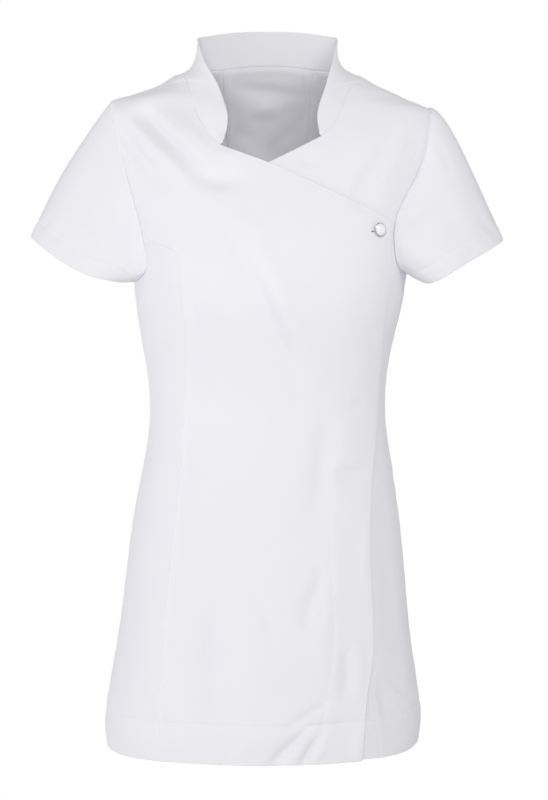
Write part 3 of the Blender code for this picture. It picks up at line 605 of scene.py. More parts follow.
# Thread round the slit, and the slit itself, a dark sheet of painted shade: reach beyond the slit, height
# above the cloth
HOLE_THREAD_PROFILE = (
    (0.0000, -0.0004),
    (0.0004, 0.0000),
    (0.0008, 0.0002),
    (0.0008, -0.0006),
)
SLIT_PROFILE = (
    (0.0, 0.0000),
    (0.0, 0.0001),
)
# Points round the button and the slit
BUTTON_TURNS = 48

# Camera, light and floor
CAMERA_PLACE = (0.00805, -3.448, -0.373)
CAMERA_LENS = 135.0
CAMERA_SENSOR = 36.0
WORLD_COLOUR = (0.985, 0.98, 1.0)
# Soft light from left, right and below, fading to nothing square to each: axis, way, strength
WORLD_LIGHT = (
    ("X", -1.0, 1.16),
    ("X", 1.0, 0.72),
    ("Z", -1.0, 0.47),
)
LIGHT_TARGET = (0.0, 0.0, -0.35)
# Name, place, size and power of each light
LIGHTS = (
    ("high", (0.9, -2.7, 1.6), 1.4, 15.0),
    ("front", (-0.2, -3.6, 0.1), 1.2, 34.5),
    ("right", (1.1, -1.8, 0.9), 0.9, 10.0),
    ("behind", (0.3, 3.0, 0.9), 2.0, 42.0),
    ("left", (-2.2, -1.8, -0.9), 1.5, 6.0),
)
FLOOR_HEIGHT = -1.35
FLOOR_HALF = 3.0
# It fades out between these distances from its middle
FLOOR_FADE_FROM = 1.05
FLOOR_FADE_TO = 2.85


def spline(rows):
    """Natural cubic spline through rows of (parameter, value, value, ...), as a function."""
    table = np.asarray(rows, float)
    order = np.argsort(table[:, 0])
    knots, values = table[order, 0], table[order, 1:]
    count, step = len(knots), np.diff(table[order, 0])
    system, load = np.eye(count), np.zeros(values.shape)
    for i in range(1, count - 1):
        system[i, i - 1 : i + 2] = step[i - 1], 2 * (step[i - 1] + step[i]), step[i]
        slopes = (values[i + 1] - values[i]) / step[i], (values[i] - values[i - 1]) / step[i - 1]
        load[i] = 6 * (slopes[0] - slopes[1])
    bend = np.linalg.solve(system, load)

    def at(parameter):
        t = np.clip(np.asarray(parameter, float), knots[0], knots[-1])
        i = np.clip(np.searchsorted(knots, t, side="right") - 1, 0, count - 2)
        width = step[i][..., None]
        after, before = (t - knots[i])[..., None], (knots[i + 1] - t)[..., None]
        cubic = (bend[i] * before**3 + bend[i + 1] * after**3) / (6 * width)
        start = (values[i] / width - bend[i] * width / 6) * before
        end = (values[i + 1] / width - bend[i + 1] * width / 6) * after
        return cubic + start + end

    return at


def run_length(points):
    """Distance of each point of a line from its start, along the line."""
    return np.concatenate([[0.0], np.cumsum(np.linalg.norm(np.diff(points, axis=0), axis=1))])


def path(points):
    """The same spline through a list of points, by share of the way along its chords."""
    points = np.asarray(points, float)
    length = run_length(points)
    return spline(np.column_stack([length / length[-1], points]))


def unit(vectors):
    return vectors / np.maximum(np.linalg.norm(vectors, axis=-1, keepdims=True), 1e-12)


def ease(value):
    """0 below 0, 1 above 1 and smooth between."""
    value = np.clip(value, 0.0, 1.0)
    return value * value * (3 - 2 * value)


def bell(value):
    return np.exp(-(value**2))


def shares(count):
    return np.linspace(0.0, 1.0, count + 1)


def ladder(length, low, high, middle, limit=0.45):
    """Shares across a width. Low and high are distances from its ends, kept where there is room."""
    length = np.asarray(length, float)[..., None]
    start = np.minimum(np.array(low) / length, limit * shares(len(low) - 1))
    end = 1 - np.minimum(np.array(high) / length, limit * shares(len(high) - 1))
    inner = start[..., -1:] + (end[..., -1:] - start[..., -1:]) * shares(middle)[1:-1]
    return np.concatenate([start, inner, end[..., ::-1]], axis=-1)


def around_stitches(distance):
    return tuple(distance + offset for offset in BESIDE_STITCHES)


# Distances from a hem, the wrap's edge and a cuff at which the sheets have rows or columns
HEM_LADDER = (*NEAR_EDGE, 0.014, 0.019, 0.025, 0.031, 0.036, *around_stitches(HEM_DEPTH), 0.052)
PLACKET_LADDER = (*NEAR_EDGE, 0.014, 0.019, 0.025, 0.031, 0.037, *around_stitches(PLACKET_STITCH), 0.053)
CUFF_LADDER = (*NEAR_EDGE, 0.013, *around_stitches(CUFF_DEPTH), 0.027)
FREE_END = (0.0,)

body_section = spline(BODY)
hem_rise = spline(HEM_RISE)
wrap_edge = spline(WRAP_EDGE)
wrap_top = spline(WRAP_TOP)
sleeve_bulge = spline(SLEEVE_BULGE)
collar_edge = spline(COLLAR_EDGE)
SIDEWAYS = np.linspace(0.0, math.pi / 2, ANGLE_SAMPLES + 1)
REACH = (np.sin(SIDEWAYS) + SQUARENESS * np.sin(3 * SIDEWAYS)) / (1 - SQUARENESS)


def beside(x, z, start, end):
    """Share of the way along a straight line at which it passes x and z, and how far from them."""
    (x0, z0), (x1, z1) = start, end
    share = ((x - x0) * (x1 - x0) + (z - z0) * (z1 - z0)) / ((x1 - x0) ** 2 + (z1 - z0) ** 2)
    share = np.clip(share, 0.0, 1.0)
    return share, np.hypot(x - x0 - share * (x1 - x0), z - z0 - share * (z1 - z0))


def fold_depth(x, z, folds):
    """How far the solids' folds push the cloth out at x and z."""
    depth = np.zeros(np.shape(x))
    for x0, z0, x1, z1, width, height in folds:
        share, away = beside(x, z, (x0, z0), (x1, z1))
        full = FOLD_ENDS + (1 - FOLD_ENDS) * np.sin(math.pi * share)
        depth += height * full * bell(away / width)
    return depth


def smooth_body(angle, height):
    """The body without folds. Angle 0 is the middle of the front, +90 degrees the wearer's left side."""
    section = body_section(height)
    sine, cosine = np.sin(angle), np.cos(angle)
    half = np.where(sine < 0, section[..., 0], section[..., 1])
    deep = np.where(cosine > 0, section[..., 2], section[..., 3])
    x = half * (sine + SQUARENESS * np.sin(3 * angle)) / (1 - SQUARENESS)
    y = -deep * (cosine - SQUARENESS * np.cos(3 * angle)) / (1 - SQUARENESS)
    turn = np.degrees((angle + math.pi) % (2 * math.pi) - math.pi)
    rise = hem_rise(turn)[..., 0] * ease((HEM_RISE_FROM - height) / (HEM_RISE_FROM - HEM))
    return np.stack([x, y, height + rise], axis=-1)


def normals(surface, angle, height):
    """Outward normals of a surface given by angle and height."""
    across = surface(angle + ANGLE_STEP, height) - surface(angle - ANGLE_STEP, height)
    up = surface(angle, height + HEIGHT_STEP) - surface(angle, height - HEIGHT_STEP)
    return unit(np.cross(across, up))


def body(angle, height, hidden=0.0):
    """The body's outer face with its folds, which fade and drop where hidden rises to 1."""
    angle, height = np.broadcast_arrays(np.asarray(angle, float), np.asarray(height, float))
    plain = smooth_body(angle, height)
    forward = np.cos(angle) / FOLD_FADE
    folds = fold_depth(plain[..., 0], plain[..., 2], FRONT_FOLDS) * ease(forward)
    folds = folds + fold_depth(plain[..., 0], plain[..., 2], BACK_FOLDS) * ease(-forward)
    out = folds * (1 - hidden) - UNDER_DROP * hidden
    return plain + normals(smooth_body, angle, height) * out[..., None]


def angle_of_share(share, side, back=False):
    """The angle at which the body reaches this share of its half width."""
    angle = np.interp(np.abs(share), REACH, SIDEWAYS)
    return side * (math.pi - angle if back else angle)


def angle_at(x, height, back=False):
    section = body_section(height)
    half = np.where(np.asarray(x) < 0, section[..., 0], section[..., 1])
    return angle_of_share(x / half, np.where(np.asarray(x) < 0, -1, 1), back)


def edge_from_heights(rows, side, height, back=False):
    """Angle and height of an edge that a table gives by height and distance from the midline."""
    return np.column_stack([angle_at(side * spline(rows)(height)[:, 0], height, back), height])


def edge_from_points(rows, at):
    """Angle and height of an edge that a table gives by its points."""
    points = path(rows)(at)
    return np.column_stack([angle_at(points[:, 0], points[:, 1]), points[:, 1]])


def evenly(edge, at, start=0.0, end=1.0):
    """Points of an edge at these shares of its length, between share start and share end of it."""
    length = run_length(smooth_body(*edge.T))
    wanted = (start + (end - start) * at) * length[-1]
    return np.column_stack([np.interp(wanted, length, edge[:, i]) for i in (0, 1)])


def scye_edge(rows, side, start, end, at, back=False):
    """Angle and height along an armhole, from share start to share end of its way up."""
    points = path([(SCYE_SPREAD * share, height) for height, share in rows])(shares(EDGE_SAMPLES))
    angle = angle_of_share(np.clip(points[:, 0] / SCYE_SPREAD, 0, 1), side, back)
    return evenly(np.column_stack([angle, points[:, 1]]), at, start, end)


def joined(*stretches):
    """One edge from several that follow each other."""
    return np.concatenate([stretches[0], *[stretch[1:] for stretch in stretches[1:]]])


def low_shares(length):
    return ladder(length, HEM_LADDER, NEAR_EDGE, LOW_ROWS)


def heights_up(low, high):
    """Heights of the rows from a hem up to high."""
    return low + (high - low) * low_shares(high - low)


def princess(side, back, top):
    """A princess seam from the hem up to top, which is an angle and a height."""
    rows = BACK_PRINCESS if back else FRONT_PRINCESS
    height = HEM + (rows[-1][0] - HEM) * shares(PRINCESS_SAMPLES)
    low = edge_from_heights(rows, side, height, back)
    return path(np.concatenate([low, [top]]))(shares(EDGE_SAMPLES))


def across(first, last, columns):
    """Angles and heights of a panel's grid between two edges, columns being shares of the way."""
    columns = np.asarray(columns, float)
    if columns.ndim == 1:
        columns = np.broadcast_to(columns, (len(first), len(columns)))
    return first[:, None, :] + (last - first)[:, None, :] * columns[..., None]


def row_lengths(first, last):
    """Length of each row of a panel between two edges."""
    spread = across(first, last, shares(WIDTH_SAMPLES))
    steps = np.diff(smooth_body(spread[..., 0], spread[..., 1]), axis=1)
    return np.linalg.norm(steps, axis=2).sum(axis=1)


def panel_grid(first, last, count, high=NEAR_EDGE, top=None):
    """A panel's grid between two edges. Its rows follow a shaped top less and less below it."""
    grid = across(first, last, ladder(row_lengths(first, last), NEAR_EDGE, high, count))
    if top is not None:
        below = grid[-1, :, 1] - grid[..., 1]
        grid = grid + (top - grid[-1]) * ease(1 - below / SHAPED_HEIGHT)[..., None]
        grid[-1] = top
        grid[:, 0], grid[:, -1] = first, last
    return grid


def build_edges():
    """Every edge of the panels, as rows of angle and height."""
    edges = {}
    diagonal = ladder(DIAGONAL_LENGTH, NEAR_EDGE, FREE_END, DIAGONAL_ROWS)
    neck = ladder(NECK_LENGTH, FREE_END, NEAR_EDGE, NECK_ROWS)
    upper = np.concatenate([DIAGONAL_SHARE * diagonal, DIAGONAL_SHARE + (1 - DIAGONAL_SHARE) * neck[1:]])
    scye_up = ladder(SCYE_LENGTH, NEAR_EDGE, NEAR_EDGE, SCYE_ROWS)
    neck_up = ladder(NECK_LENGTH, NEAR_EDGE, FREE_END, NECK_BACK_ROWS)
    for name, side, rows, neck_rows in (
        ("right", -1, FRONT_SCYE_RIGHT, NECK_RIGHT),
        ("left", 1, FRONT_SCYE_LEFT, NECK_LEFT),
    ):
        back_rows = rows[:1] + BACK_SCYE + rows[-1:]
        height = heights_up(HEM, rows[0][0])
        edges["side", name] = np.column_stack([np.full_like(height, side * math.pi / 2), height])
        corner = scye_edge(rows, side, 0.0, SCYE_JOIN, np.array([1.0]))[0]
        seam = princess(side, False, corner)
        length = run_length(smooth_body(*seam.T))[-1]
        edges["front_princess", name] = evenly(seam, low_shares(length))
        edges["scye_high", name] = scye_edge(rows, side, SCYE_JOIN, 1.0, upper)
        edges["scye_back", name] = scye_edge(back_rows, side, 0.0, 1.0, scye_up, True)
        edges["neck_front", name] = edge_from_points(neck_rows, neck)
        behind = [[side * math.radians(turn), height] for turn, height in NECK_BACK]
        around = path([edges["neck_front", name][-1], *behind])(shares(EDGE_SAMPLES))
        edges["neck_back", name] = evenly(around, neck_up)
        seam = princess(side, True, np.array(behind[-1]))
        length = run_length(smooth_body(*seam.T))[-1]
        count = LOW_ROWS - 1 + len(NEAR_EDGE) + len(scye_up) - len(neck_up)
        edges["back_princess", name] = evenly(seam, ladder(length, HEM_LADDER, FREE_END, count))
        width = row_lengths(edges["side", name][-1:], corner[None])[0]
        low_columns = ladder(width, NEAR_EDGE, NEAR_EDGE, SIDE_COLUMNS)
        edges["scye_low", name] = scye_edge(rows, side, 0.0, SCYE_JOIN, low_columns)
    edges["wrap_edge"] = edge_from_heights(WRAP_EDGE, 1, heights_up(HEM, WRAP_EDGE[-1][0]))
    edges["wrap_top"] = edge_from_points(WRAP_TOP, diagonal)
    height = heights_up(UNDER_HEM, UNDER_TOP[0][1])
    edges["under_edge"] = np.column_stack([angle_at(UNDER_EDGE_X, height), height])
    edges["under_top"] = edge_from_points(UNDER_TOP, diagonal)
    return edges


EDGES = build_edges()


def wrap_lift(points, from_edge, row_share):
    """How far the upper front lies above the body: over the under front, and over its own placket."""
    lift = LAYER * ease((points[..., 0] - LAYER_FROM_X) / LAYER_OVER)
    placket = PLACKET_LAYER * ease((PLACKET_SLOPE_TO - from_edge) / PLACKET_SLOPE)
    low = ease((GROOVE_FROM - points[..., 2]) / CURL_OVER)
    placket = placket - PLACKET_GROOVE * low * bell((from_edge - PLACKET_STITCH) / PLACKET_GROOVE_WIDTH)
    curl = EDGE_CURL * (1 - np.clip(from_edge / CURL_WIDTH, 0, 1)) ** 2
    return lift + placket * row_share + curl * ease((CURL_FROM - points[..., 2]) / CURL_OVER)


def under_wrap(angle, height):
    """0 where a lower layer shows and 1 well under the upper front."""
    plain = smooth_body(angle, height)
    side = wrap_edge(height)[..., 0] - plain[..., 0]
    top = wrap_top(plain[..., 0])[..., 0] - height
    inside = np.minimum(side, top)
    return ease((inside - HIDDEN_FROM) / HIDDEN_OVER) * (np.cos(angle) > 0)


def cuff_loop(rows):
    """A closed smooth loop through the cuff's points, by share of the way round."""
    table = np.asarray(rows, float)
    before, after = table[-3:].copy(), table[:4].copy()
    before[:, 0] -= 1
    after[:, 0] += 1
    return spline(np.concatenate([before, table, after]))


CUFFS = {"right": cuff_loop(CUFF_RIGHT), "left": cuff_loop(CUFF_LEFT)}


def armhole(name):
    """The armhole as one closed run of angles and heights, with each point's share of the way round."""
    front, rear = joined(EDGES["scye_low", name], EDGES["scye_high", name]), EDGES["scye_back", name]
    up, down = (run_length(body(*edge.T)) for edge in (front, rear))
    around = np.concatenate([up / up[-1] / 2, (1 - down / down[-1] / 2)[::-1][1:-1]])
    return joined(front, rear[::-1])[:-1], around


def sleeve_point(name, run, share, t):
    """A point of the sleeve, t of the way from the armhole to the cuff."""
    start, end = body(*run.T), CUFFS[name](share)
    middle = CUFFS[name](shares(CUFF_POINTS)[:-1]).mean(axis=0)
    out = unit(end - middle)
    bulge = sleeve_bulge(share)[..., 0 if name == "right" else 1][..., None]
    t = np.asarray(t, float)[..., None]
    return start + (end - start) * t + out * bulge * np.sin(math.pi * t ** BULGE_LEAN[name])


def seam_direction(body_normal, along, away):
    """Mitre of two walls at a seam: its direction, lengthened so that both keep their thickness."""
    other = unit(np.cross(along, away))
    mitre = unit(body_normal + other)
    return mitre / np.clip(np.sum(mitre * body_normal, axis=-1, keepdims=True), MITRE_LIMIT, 1.0)


def armhole_mitre(name):
    """Directions of the wall at the armhole, by angle and height, shared by body and sleeve."""
    run, share = armhole(name)
    ring = sleeve_point(name, run, share, 0.0)
    along = np.roll(ring, -1, axis=0) - np.roll(ring, 1, axis=0)
    away = sleeve_point(name, run, share, SLEEVE_START) - ring
    flip = -1 if name == "left" else 1
    return run, seam_direction(normals(body, *run.T), flip * along, away)


def nape_row(columns):
    """Neck seam across the back panel, from its left corner to its right one."""
    turn, height = NECK_BACK[-1]
    angle = math.radians(turn) + math.radians(360 - 2 * turn) * columns
    return np.column_stack([angle, NAPE_HEIGHT - (NAPE_HEIGHT - height) * (2 * columns - 1) ** 2])


def neck_run():
    """The neck seam from the collar's right end round the back to its left end."""
    nape = nape_row(NAPE_COLUMNS)[::-1] - [2 * math.pi, 0]
    right = joined(EDGES["neck_front", "right"], EDGES["neck_back", "right"])
    left = joined(EDGES["neck_front", "left"], EDGES["neck_back", "left"])[::-1]
    run = joined(right, nape, left + [-2 * math.pi, 0])
    points = body(*run.T)
    span = run_length(points)
    return run, points, span / span[-1]


def neck_mitre():
    """Directions of the wall at the neck seam, shared by body and collar."""
    run, points, share = neck_run()
    away = collar_edge(share) - points
    away[[0, -1]] = away[[1, -2]]
    along = np.gradient(points, share, axis=0)
    return run, seam_direction(normals(body, *run.T), -along, away)


def mitre_shift(points, plain):
    """What the shared mitre adds to the normals along an edge, where it lies on a seam."""
    shift = np.zeros_like(plain)
    for run, mitre in MITRES:
        apart = points[:, None, :] - run
        apart[..., 0] = (apart[..., 0] + math.pi) % (2 * math.pi) - math.pi
        apart = np.abs(apart).max(axis=-1)
        on_seam = apart.min(axis=-1) < SAME
        shift[on_seam] = (mitre[apart.argmin(axis=-1)] - plain)[on_seam]
    return shift


def ripple(points, wavelength, seed):
    """A smooth uneven wave through space, mostly between -1 and 1."""
    draw = np.random.default_rng(seed)
    turns = unit(draw.normal(size=(RIPPLE_WAVES, 3)))
    turns *= (2 * math.pi / wavelength * draw.uniform(*RIPPLE_RANGE, RIPPLE_WAVES))[:, None]
    phase = draw.uniform(0, 2 * math.pi, RIPPLE_WAVES)
    return np.sin(points @ turns.T + phase).sum(axis=-1) / math.sqrt(RIPPLE_WAVES)


def creases(points, facing):
    """How far the listed creases push the cloth out. Facing is 1 at the front and -1 at the back."""
    depth = np.zeros(points.shape[:-1])
    x, z = points[..., 0], points[..., 2]
    for side, table in ((1, FRONT_CREASES), (-1, BACK_CREASES)):
        seen = ease(side * facing / FOLD_FADE)
        for width, height, *line in table:
            done = run_length(line)
            nearest, along = np.full(x.shape, np.inf), np.zeros(x.shape)
            for k in range(len(line) - 1):
                share, away = beside(x, z, line[k], line[k + 1])
                here = (done[k] + share * (done[k + 1] - done[k])) / done[-1]
                along = np.where(away < nearest, here, along)
                nearest = np.minimum(nearest, away)
            fade = CREASE_ENDS + (1 - CREASE_ENDS) * np.sin(math.pi * along)
            depth += height * fade * bell(nearest / width) * seen
    return depth


def rounding(free, radius):
    """How far a free edge is cut back on each face, so that its rim is round."""
    return radius * (1 - np.sqrt(1 - (1 - np.clip(free / radius, 0, 1)) ** 2)) * RIM_ROUNDNESS


def feed(tree, node, feeds):
    """Sets inputs of a shader node, each to a value or to the output that feeds it."""
    for name, value in feeds.items():
        if isinstance(value, bpy.types.NodeSocket):
            tree.links.new(value, node.inputs[name])
        else:
            node.inputs[name].default_value = value


def add_node(tree, kind, feeds=None, **settings):
    """A new shader node with its settings and what feeds its inputs."""
    node = tree.nodes.new("ShaderNode" + kind)
    for name, value in settings.items():
        setattr(node, name, value)
    feed(tree, node, feeds or {})
    return node


def noise(tree, scale, detail=2.0):
    """Noise through the piece's own space."""
    where = add_node(tree, "TexCoord").outputs["Object"]
    return add_node(tree, "TexNoise", {"Vector": where, "Scale": scale, "Detail": detail}).outputs["Fac"]


def colour_range(tree, amount, low, high, start=0.0, end=1.0):
    """Colours from low to high while the amount goes from start to end."""
    node = add_node(tree, "ValToRGB", {"Fac": amount})
    for element, place, colour in zip(node.color_ramp.elements, (start, end), (low, high)):
        element.position = place
        element.color = (*colour, 1.0)
    return node.outputs["Color"]


def value_range(tree, amount, low, high):
    """Values from low to high while the amount goes from 0 to 1."""
    return add_node(tree, "MapRange", {"Value": amount, "To Min": low, "To Max": high}).outputs["Result"]


def relief(tree, height, strength):
    """Normals of a relief of this height."""
    feeds = {"Height": height, "Strength": strength, "Distance": RELIEF}
    return add_node(tree, "Bump", feeds).outputs["Normal"]


def build_material(name, colour, roughness, sheen):
    made = bpy.data.materials.new(name)
    made.use_nodes = True
    shader = made.node_tree.nodes["Principled BSDF"]
    feeds = {"Base Color": (*colour, 1.0), "Roughness": roughness, "Sheen Weight": sheen}
    feed(made.node_tree, shader, feeds)
    return made, made.node_tree, shader


def cloth_material():
    """White polyester: fine plain weave, faint slubs, barely uneven colour, and a painted highlight on
    raised seams and the wrap's edge.
    """
    made, tree, shader = build_material("white_cloth_detail", CLOTH_COLOUR, 0.8, 0.15)
    place = add_node(tree, "UVMap", uv_map="cloth").outputs["UV"]
    threads = {"Vector": place, "Scale": WEAVE_SCALE, "Distortion": 0.6, "Detail": 1.0, "Detail Scale": 1.0}
    warp, weft = (add_node(tree, "TexWave", threads, bands_direction=way).outputs["Fac"] for way in "XY")
    weave = add_node(tree, "Math", {0: warp, 1: weft}, operation="MULTIPLY").outputs[0]
    slubs = noise(tree, 420.0, 3.0)
    height = add_node(tree, "Math", {0: weave, 1: slubs}, operation="ADD").outputs[0]
    uneven = colour_range(tree, noise(tree, 14.0, 4.0), CLOTH_COLOUR_DARK, CLOTH_COLOUR, 0.3, 0.7)
    # Painted highlight: the colour turns lighter where the sheet's highlight attribute is high
    painted_highlight = add_node(tree, "Attribute", attribute_name="painted_highlight").outputs["Fac"]
    edge = {"Factor": painted_highlight, "A": uneven, "B": (*HIGHLIGHT_COLOUR, 1.0)}
    feed(tree, shader, {
        "Base Color": add_node(tree, "Mix", edge, data_type="RGBA").outputs["Result"],
        "Roughness": value_range(tree, slubs, 0.72, 0.88),
        "Specular IOR Level": 0.35,
        "Sheen Roughness": 0.4,
        "Normal": relief(tree, height, 0.35),
    })
    return made


def thread_material():
    """White sewing thread, a little glossier than the cloth, with its twist as fine bands."""
    made, tree, shader = build_material("white_thread", (0.86, 0.86, 0.88), 0.55, 0.1)
    where = add_node(tree, "TexCoord").outputs["Object"]
    twist = add_node(tree, "TexWave", {"Vector": where, "Scale": 700.0}, bands_direction="DIAGONAL")
    feed(tree, shader, {"Normal": relief(tree, twist.outputs["Fac"], 0.4)})
    return made


def slit_shade_material():
    """Painted shade for the gap inside the buttonhole, a little uneven where thread ends lie in it."""
    made, tree, shader = build_material("buttonhole_painted_shade", (0.03, 0.03, 0.035), 0.9, 0.0)
    ends = colour_range(tree, noise(tree, 2500.0), (0.02, 0.02, 0.025), (0.10, 0.10, 0.11))
    feed(tree, shader, {"Base Color": ends})
    return made


def pearl_material():
    """Pearl-white glossy cap with a faint cloudiness."""
    made, tree, shader = build_material("pearl_cap", (0.90, 0.90, 0.91), 0.12, 0.0)
    cloud = colour_range(tree, noise(tree, 300.0), (0.84, 0.84, 0.86), (0.95, 0.95, 0.94))
    feed(tree, shader, {"Base Color": cloud, "Coat Weight": 0.6, "Coat Roughness": 0.05})
    return made


def metal_material():
    """Polished silver-coloured rim with fine handling marks."""
    made, tree, shader = build_material("silver_rim", (0.62, 0.62, 0.64), 0.18, 0.0)
    feed(tree, shader, {"Metallic": 1.0, "Roughness": value_range(tree, noise(tree, 900.0), 0.12, 0.26)})
    return made


def finish_piece(name, verts, faces, finish, node=None, uvs=None):
    """One piece of the object, riding on its body and standing for its solid."""
    mesh = bpy.data.meshes.new(name)
    mesh.from_pydata(verts.tolist(), [], faces)
    mesh.validate()
    mesh.materials.append(finish)
    if uvs is not None:
        layer = mesh.uv_layers.new(name="cloth")
        corners = np.empty(len(mesh.loops), int)
        mesh.loops.foreach_get("vertex_index", corners)
        layer.data.foreach_set("uv", uvs[corners].ravel())
    mesh.shade_smooth()
    mesh.set_sharp_from_angle(angle=SHARP)
    piece = bpy.data.objects.new(name, mesh)
    bpy.context.scene.collection.objects.link(piece)
    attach(piece, "root")
    if node:
        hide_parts(node)
    return piece


def sheet(node, outer, inner, uv, closed=False, painted_highlight=None):
    """A thin closed sheet of cloth between its outer and inner grids of points."""
    rows, columns = outer.shape[:2]
    count = rows * columns
    index = np.arange(count).reshape(rows, columns)
    right = np.roll(index, -1, axis=1) if closed else index[:, 1:]
    left = index if closed else index[:, :-1]
    quads = np.stack([left[:-1], right[:-1], right[1:], left[1:]], axis=-1).reshape(-1, 4)
    middle = outer[rows // 2, columns // 2]
    du = outer[rows // 2, columns // 2 + 1] - middle
    dv = outer[rows // 2 + 1, columns // 2] - middle
    turned = np.dot(np.cross(du, dv), middle - inner[rows // 2, columns // 2]) < 0
    if turned:
        quads = quads[:, ::-1]
    faces = [quads, quads[:, ::-1] + count]
    rims = [(left[0], right[0]), (right[-1], left[-1])]
    if not closed:
        rims += [(index[1:, 0], index[:-1, 0]), (index[:-1, -1], index[1:, -1])]
    for a, b in rims:
        rim = np.stack([b, a, a + count, b + count], axis=-1)
        faces.append(rim[:, ::-1] if turned else rim)
    verts = np.concatenate([outer.reshape(-1, 3), inner.reshape(-1, 3)])
    uvs = np.concatenate([uv.reshape(-1, 2)] * 2)
    faces = np.concatenate(faces).tolist()
    piece = finish_piece(f"{node}_cloth", verts, faces, WHITE_CLOTH, node=node, uvs=uvs)
    # Painted highlight, stored on the outer points for the cloth's colour
    if painted_highlight is not None:
        highlight_attribute = piece.data.attributes.new("painted_highlight", "FLOAT", "POINT")
        highlight_attribute.data.foreach_set("value", np.concatenate([painted_highlight.ravel(), np.zeros(count)]))


def distances(points, axis):
    """Distance of each grid point from the first row or column, and from the last."""
    steps = np.linalg.norm(np.diff(points, axis=axis), axis=-1)
    start = np.cumsum(steps, axis=axis)
    start = np.concatenate([np.zeros_like(np.take(start, [0], axis=axis)), start], axis=axis)
    return start, np.take(start, [-1], axis=axis) - start


def puckers(line, away):
    """The waves that a seam's stitches leave in the cloth beside it."""
    return PUCKER * ripple(line, PUCKER_LENGTH, 11) * bell(away / PUCKER_WIDTH)


def dress(points, directions, sewn, free, from_hem, hem_depth, hem_line, pucker, ridge=0.0):
    """Outer and inner faces of a sheet: seams, hems, stitched grooves, creases and soft unevenness."""
    facing = -unit(directions)[..., 1]
    soft = UNEVEN * ripple(points, UNEVEN_LENGTH, 3) + SOFT * ripple(points, SOFT_LENGTH, 5)
    shape = creases(points, facing) + soft * ease(free / UNEVEN_FADE) + pucker
    roping = ROPING * ripple(hem_line, ROPING_LENGTH, 7) * bell((from_hem - hem_depth) / ROPING_WIDTH)
    shape = shape + roping * ease(free / ROPING_FADE)
    allowance = ease((ALLOWANCE_WIDTH - sewn) / ALLOWANCE_STEP)
    outside = shape - SEAM_DIP * bell(sewn / SEAM_WIDTH) + ALLOWANCE_RISE * allowance + ridge
    outside -= GROOVE * bell((from_hem - hem_depth) / GROOVE_WIDTH)
    outside += HEM_PUFF * np.sin(math.pi * np.clip(from_hem / hem_depth, 0, 1))
    thick = CLOTH + (FOLDED - CLOTH) * ease((hem_depth - from_hem) / HEM_STEP)
    thick = thick + ALLOWANCE_CLOTH * allowance * ease(free / ALLOWANCE_STEP)
    thick = thick - INNER_DIP * bell(sewn / SEAM_WIDTH)
    cut = rounding(free, thick / 2)
    outer = points + directions * (outside - cut)[..., None]
    inner = points + directions * (shape - thick + cut)[..., None]
    return outer, inner


def panel(
    node, grid, sewn_first, sewn_last, sewn_top,
    lift=None, under=False, stitched=True, ridges=(), highlight_last=0.0,
):
    """A body panel from its grid of angles and heights. Each long edge is sewn, or is so by row.

    Lift raises it off the body, and under lets it drop below the upper front. The edges named in
    ridges have raised seams with a painted highlight along them, and the last keyword gives how
    strong a painted highlight each row's last edge gets.
    """
    hidden = under_wrap(grid[..., 0], grid[..., 1]) if under else 0.0
    points = body(grid[..., 0], grid[..., 1], hidden)
    from_first, from_last = distances(points, 1)
    from_hem, from_top = distances(points, 0)
    plain = normals(body, grid[..., 0], grid[..., 1])
    directions = plain.copy()
    top_shift = mitre_shift(grid[-1], plain[-1])
    mostly_sewn = np.any(top_shift, axis=-1).mean() > 0.5
    if mostly_sewn:
        directions += top_shift[None] * bell(from_top / MITRE_FADE)[..., None]
    else:
        for at, away in ((0, from_first), (-1, from_last)):
            shift = mitre_shift(grid[:, at], plain[:, at])
            directions += shift[:, None] * bell(away / MITRE_FADE)[..., None]
    if lift is not None:
        points = points + unit(directions) * lift[..., None]
    sewn = np.full(points.shape[:2], FAR)
    free = from_hem.copy()
    pucker = np.zeros(points.shape[:2])
    for sewn_rows, away, line in (
        (sewn_first, from_first, points[:, :1]),
        (sewn_last, from_last, points[:, -1:]),
        (sewn_top, from_top, points[-1:]),
    ):
        on_seam = np.broadcast_to(np.reshape(sewn_rows, (-1, 1)), points.shape[:2])
        sewn = np.where(on_seam, np.minimum(sewn, away), sewn)
        free = np.where(on_seam, free, np.minimum(free, away))
        pucker = pucker + puckers(line, away) * on_seam
    hem_line = points[:1] + unit(np.gradient(points, axis=1)) * from_hem[..., None] * ROPING_SKEW
    # Raised seams, with a painted highlight along them and along each row's last edge where asked
    ridge, painted_highlight = np.zeros(pucker.shape), np.zeros(pucker.shape)
    for at in ridges:
        away = {"first": from_first, "last": from_last}[at]
        ridge += RIDGE * ease(away / RIDGE_RISE) * bell(away / RIDGE_FALL)
        painted_highlight += bell(away / HIGHLIGHT_WIDTH)
    painted_highlight += bell(from_last / HIGHLIGHT_WIDTH) * np.reshape(highlight_last, (-1, 1))
    outer, inner = dress(points, directions, sewn, free, from_hem, HEM_DEPTH, hem_line, pucker, ridge)
    sheet(node, outer, inner, np.stack([from_first, from_hem], axis=-1), painted_highlight=painted_highlight)
    if stitched:
        stitch_line(outer, directions, from_hem, HEM_DEPTH)
    return outer, directions, from_last


# Rings of points of each bead of thread
THREADS = []


def spokes(count, aside, upright):
    """Directions all round an axis."""
    turns = np.arange(count)[:, None] * 2 * math.pi / count
    return np.cos(turns) * aside + np.sin(turns) * upright


def tube_faces(rows, columns, first=0):
    """Faces of a tube of rings of points, closed at both ends."""
    index = np.arange(rows * columns).reshape(rows, columns) + first
    after = np.roll(index, -1, axis=1)
    quads = np.stack([index[:-1], after[:-1], after[1:], index[1:]], axis=-1).reshape(-1, 4)
    return [*quads.tolist(), index[0, ::-1].tolist(), index[-1].tolist()]


def between(place, distance, values):
    """Values along a line at this distance from its start."""
    return np.array([np.interp(distance, place, values[:, i]) for i in range(3)])


